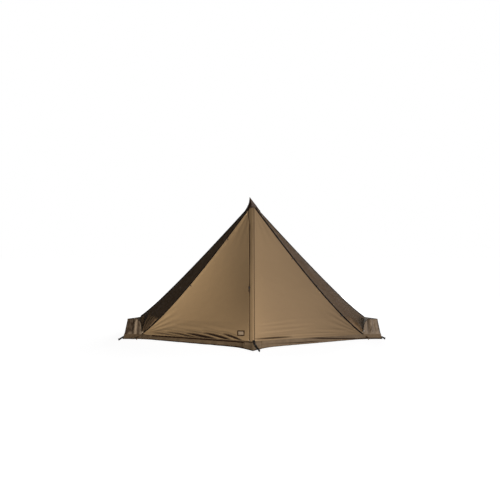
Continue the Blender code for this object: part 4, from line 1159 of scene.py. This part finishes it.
# %% [markdown]
# A small woven patch is sewn near the foot of the left door. On this part it is bare: a pale field inside a
# dark border. It follows the door's relief, so it lies on the cloth.

# %% Bare patch
PATCH_ACROSS, PATCH_ALONG, PATCH_WIDTH, PATCH_HEIGHT, PATCH_BORDER = 0.146, 0.137, 0.092, 0.066, 0.013


def make_patch(name, inset, lift, columns, rows):
    """One layer of the patch, cut smaller all round by the inset and lifted off the door's cloth."""
    width, height = PATCH_WIDTH - 2 * inset, PATCH_HEIGHT - 2 * inset

    def surface(u, v):
        across = PATCH_ACROSS + (u - 0.5) * width
        along = PATCH_ALONG + (v - 0.5) * height + (u - 0.5) * width * SILL_SLOPE
        return door_point(-1, across, along, door_relief(-1, across, along) + lift)

    patch = lay_cloth(name, surface, columns, rows, name, flat=(width, height),
                      thickness=0.0008, outside=NORMAL[-1])
    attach(patch, "left_door")
    declare_sheet(patch)
    return patch


border = make_patch("patch_border", 0.0, 0.0016, 26, 20)
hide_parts("blank_patch")
make_patch("patch_field", PATCH_BORDER, 0.0026, 18, 12)

# %% [markdown]
# The zip under the flap has two knitted tapes, each with a nylon coil along its edge. A coil's turns are
# far too fine for any view, so each coil is one rounded rib.

# %% Zip halves
TAPE_WIDTH, COIL_RADIUS = 0.014, 0.0011


def make_zip_half(name, direction):
    """Half a zip beside the coil line: direction is +1 away from the ridge and -1 towards it."""
    def surface(u, v):
        from_edge = 0.00015 + u * TAPE_WIDTH
        along = ZIP_FOOT + v * (ZIP_TOP - ZIP_FOOT)
        coil = 2 * COIL_RADIUS * math.sqrt(max(0.0, 1 - (from_edge / COIL_RADIUS - 1) ** 2))
        return door_point(-1, COIL_LINE + direction * from_edge, along, coil - 2 * COIL_RADIUS)

    half = lay_cloth(name + "_tape", surface, 40, 100, "brown_zip_tape",
                     flat=(TAPE_WIDTH, ZIP_TOP - ZIP_FOOT), thickness=0.0006, outside=NORMAL[-1])
    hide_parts(name)
    declare_sheet(half)
    fold_blend(half)


make_zip_half("left_zip_half", 1)
make_zip_half("right_zip_half", -1)

# %% [markdown]
# A pointed rain hood is sewn over the peak. It leans left, with a hollow left side and a straight right
# one, and under it sits the reinforced cap that takes the pole. Both are cones over the tent's edges. The
# cap's faces look down when it gets its thickness, so that its wall grows up from where it was laid.

# %% Peak cap and rain hood
CAP_DEPTH, CAP_LIFT = 0.042, 0.0040
HOOD_DEPTHS, HOOD_LIFT = [0.046, 0.054, 0.086, 0.086, 0.054], 0.0052
HOOD_TIP = PEAK + Vector((-0.033, 0.0, 0.077))


def peak_ring(u, shade_values, lift):
    """A point round the peak's five-sided pyramid, at the depth given for each of its five edges."""
    feet = [RIDGE_FOOT, seam_foot(1), rear_corner(1), rear_corner(-1), seam_foot(-1)]
    edge = min(4, int(5 * u))
    share = 5 * u - edge
    ends = []
    for number in (edge, (edge + 1) % 5):
        ray = (feet[number] - PEAK) / (PEAK.z - feet[number].z)
        ends.append(PEAK + lift * UP + ray * (shade_values[number] + lift))
    return ends[0].lerp(ends[1], share)


def close_round(piece):
    """Weld the seam of a sheet that was rolled into a cone."""
    deselect_all()
    piece.select_set(True)
    bpy.context.view_layer.objects.active = piece
    bpy.ops.object.mode_set(mode="EDIT")
    bpy.ops.mesh.select_all(action="SELECT")
    bpy.ops.mesh.remove_doubles(threshold=0.00005)
    bpy.ops.mesh.normals_make_consistent(inside=False)
    bpy.ops.object.mode_set(mode="OBJECT")


def make_peak():
    def cap(u, v):
        return peak_ring(u, [CAP_DEPTH] * 5, CAP_LIFT).lerp(PEAK + CAP_LIFT * UP, v * 0.98)

    def hood_hem(u):
        """A point of the hood's hem, and how far it faces left."""
        base = peak_ring(u, HOOD_DEPTHS, HOOD_LIFT)
        return base, max(0.0, -base.x / base.xy.length)

    def hood(u, v):
        base, leftward = hood_hem(u)
        point = base.lerp(HOOD_TIP, v * 0.985)
        point.x += 0.019 * arch(v) * leftward
        folds = 0.0025 * arch(v) * math.sin(2 * math.pi * 5 * u + 0.6)
        swell = 0.0030 * wrinkle(u * 12, v * 4, 5.0) * (1 - v)
        return point + Vector((base.x, base.y, 0.0)).normalized() * (folds + swell)

    # Painted shade on the hood: darker on the side that faces left, at the hem and along a streak, over
    # random tone.
    def hood_painted_shade(u, v):
        _, leftward = hood_hem(u)
        streak = 0.5 * groove(u - 0.045 - 0.02 * v, 0.02)
        return max(leftward, 0.8 * groove(v, 0.10), streak, 0.15 + 0.2 * wrinkle(u * 30.0, v * 3.0, 2.0))

    for node, surface, finish, slot, fold, outside in (
            ("peak_cap", cap, "black_webbing", "black_webbing", None, -UP),
            ("rain_hood", hood, "hood_cloth", "coyote_cloth", hood_painted_shade, None)):
        piece = lay_cloth(node + "_cloth", surface, 80, 26, finish, flat=(0.36, 0.12), fold=fold,
                          outside=outside)
        close_round(piece)
        sew_on(piece, node)


make_peak()

# %% [markdown]
# Hardware keeps the shapes of its solids and gets its real finishes: cast zinc with a dark plating, moulded
# acetal, clear-anodised tube, dark-plated steel pegs and a rubber foot.

# %% Hardware finishes
def solid_material(name, hex_colour, roughness, metallic, grain, depth, stretch=(1.0, 1.0, 1.0)):
    """A moulded or metal finish: its colour varies a little, and grain gives relief and uneven gloss."""
    made, tree, shader = new_material(name, Metallic=metallic)
    place = add_node(tree, "TexCoord").outputs["Object"]
    moved = add_node(tree, "Mapping", {"Vector": place, "Scale": stretch})
    spots = add_node(tree, "TexNoise", {"Vector": moved, "Scale": 1 / grain, "Detail": 3.0})
    colour = linear(hex_colour)
    dark, light = [[min(1.0, c * share) for c in colour[:3]] + [1.0] for share in (0.85, 1.12)]
    mixed = add_node(tree, "Mix", {"Factor": spots, 6: dark, 7: light}, data_type="RGBA")
    gloss = add_node(tree, "MapRange", {"Value": spots, "To Min": roughness * 0.85,
                                        "To Max": min(1.0, roughness * 1.2)})
    relief = add_node(tree, "Bump", {"Height": spots, "Strength": 0.3, "Distance": depth})
    feed(shader, {"Base Color": mixed.outputs[2], "Roughness": gloss, "Normal": relief})
    return made


for finish, *look in (
        ("dark_acetal", "moulded dark acetal", "0A0706", 0.80, 0.0, 0.002, 0.0002),
        ("dark_zinc", "dark-plated cast zinc", "2A2523", 0.45, 1.0, 0.003, 0.0001),
        ("elastic_cord", "braided elastic cord", "1D1916", 0.80, 0.0, 0.0012, 0.0003),
        ("pole_aluminium", "clear-anodised drawn aluminium", "A3A6AB", 0.32, 1.0, 0.010, 0.0001,
         (1.0, 1.0, 0.05)),
        ("grey_rubber", "moulded grey rubber", "2B2B2B", 0.90, 0.0, 0.002, 0.0002),
        ("peg_steel", "dark-plated steel bar", "35312E", 0.50, 1.0, 0.004, 0.0001, (1.0, 1.0, 0.1))):
    finishes[finish] = solid_material(*look)

for part in frame["record"]["subparts"]:
    node = frame["nodes"][part["node"]]
    finish = part["material_slot"]
    if finish == "black_webbing":
        finish = "brown_webbing" if "seam" in part["node"] else "loop_webbing"
    node.data.materials.clear()
    node.data.materials.append(finishes.get(finish, finishes["roof_cloth"]))

# %% [markdown]
# The pulls are small cast tabs. The upper one carries a round moulded grip, the dark dot on the flap's edge
# in the photograph. It is a short cylinder with bevelled rims and a dished face, set in the door's plane.

# %% Grip on the upper pull
GRIP_RADIUS, GRIP_DEPTH, GRIP_LIFT, GRIP_RIM = 0.0120, 0.0036, 0.0096, 0.0010
GRIP_ASIDE, DISH_SHARE, DISH_DEPTH = 0.008, 0.35, 0.18


def make_grip():
    deselect_all()
    bpy.ops.mesh.primitive_cylinder_add(vertices=48, radius=GRIP_RADIUS, depth=GRIP_DEPTH)
    grip = bpy.context.object
    grip.name = "upper_pull_grip"
    bpy.ops.object.mode_set(mode="EDIT")
    bpy.ops.mesh.select_all(action="DESELECT")
    bpy.ops.object.mode_set(mode="OBJECT")
    for face in grip.data.polygons:
        face.select = abs(face.normal.z) > 0.9
    bpy.ops.object.mode_set(mode="EDIT")
    bpy.ops.mesh.inset(thickness=GRIP_RADIUS * DISH_SHARE, depth=-GRIP_DEPTH * DISH_DEPTH)
    bpy.ops.object.mode_set(mode="OBJECT")
    rims = grip.modifiers.new("rounded rims", "BEVEL")
    rims.width, rims.segments, rims.limit_method = GRIP_RIM, 3, "ANGLE"
    bpy.ops.object.modifier_apply(modifier=rims.name)
    bpy.ops.object.shade_smooth_by_angle(angle=math.radians(40))
    low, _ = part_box("upper_pull")
    across = COIL_LINE - GRIP_ASIDE
    along = (low[2] - GRIP_RADIUS * 0.2 - RIDGE_FOOT.z - across * ACROSS[-1].z) / UP_RIDGE.z
    turn = NORMAL[-1].to_track_quat("Z", "Y").to_matrix().to_4x4()
    grip.data.transform(Matrix.Translation(door_point(-1, across, along, GRIP_LIFT)) @ turn)
    grip.data.materials.append(finishes["dark_acetal"])
    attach(grip, "upper_pull")
    print("grip", round(2000 * GRIP_RADIUS), "mm across")


make_grip()
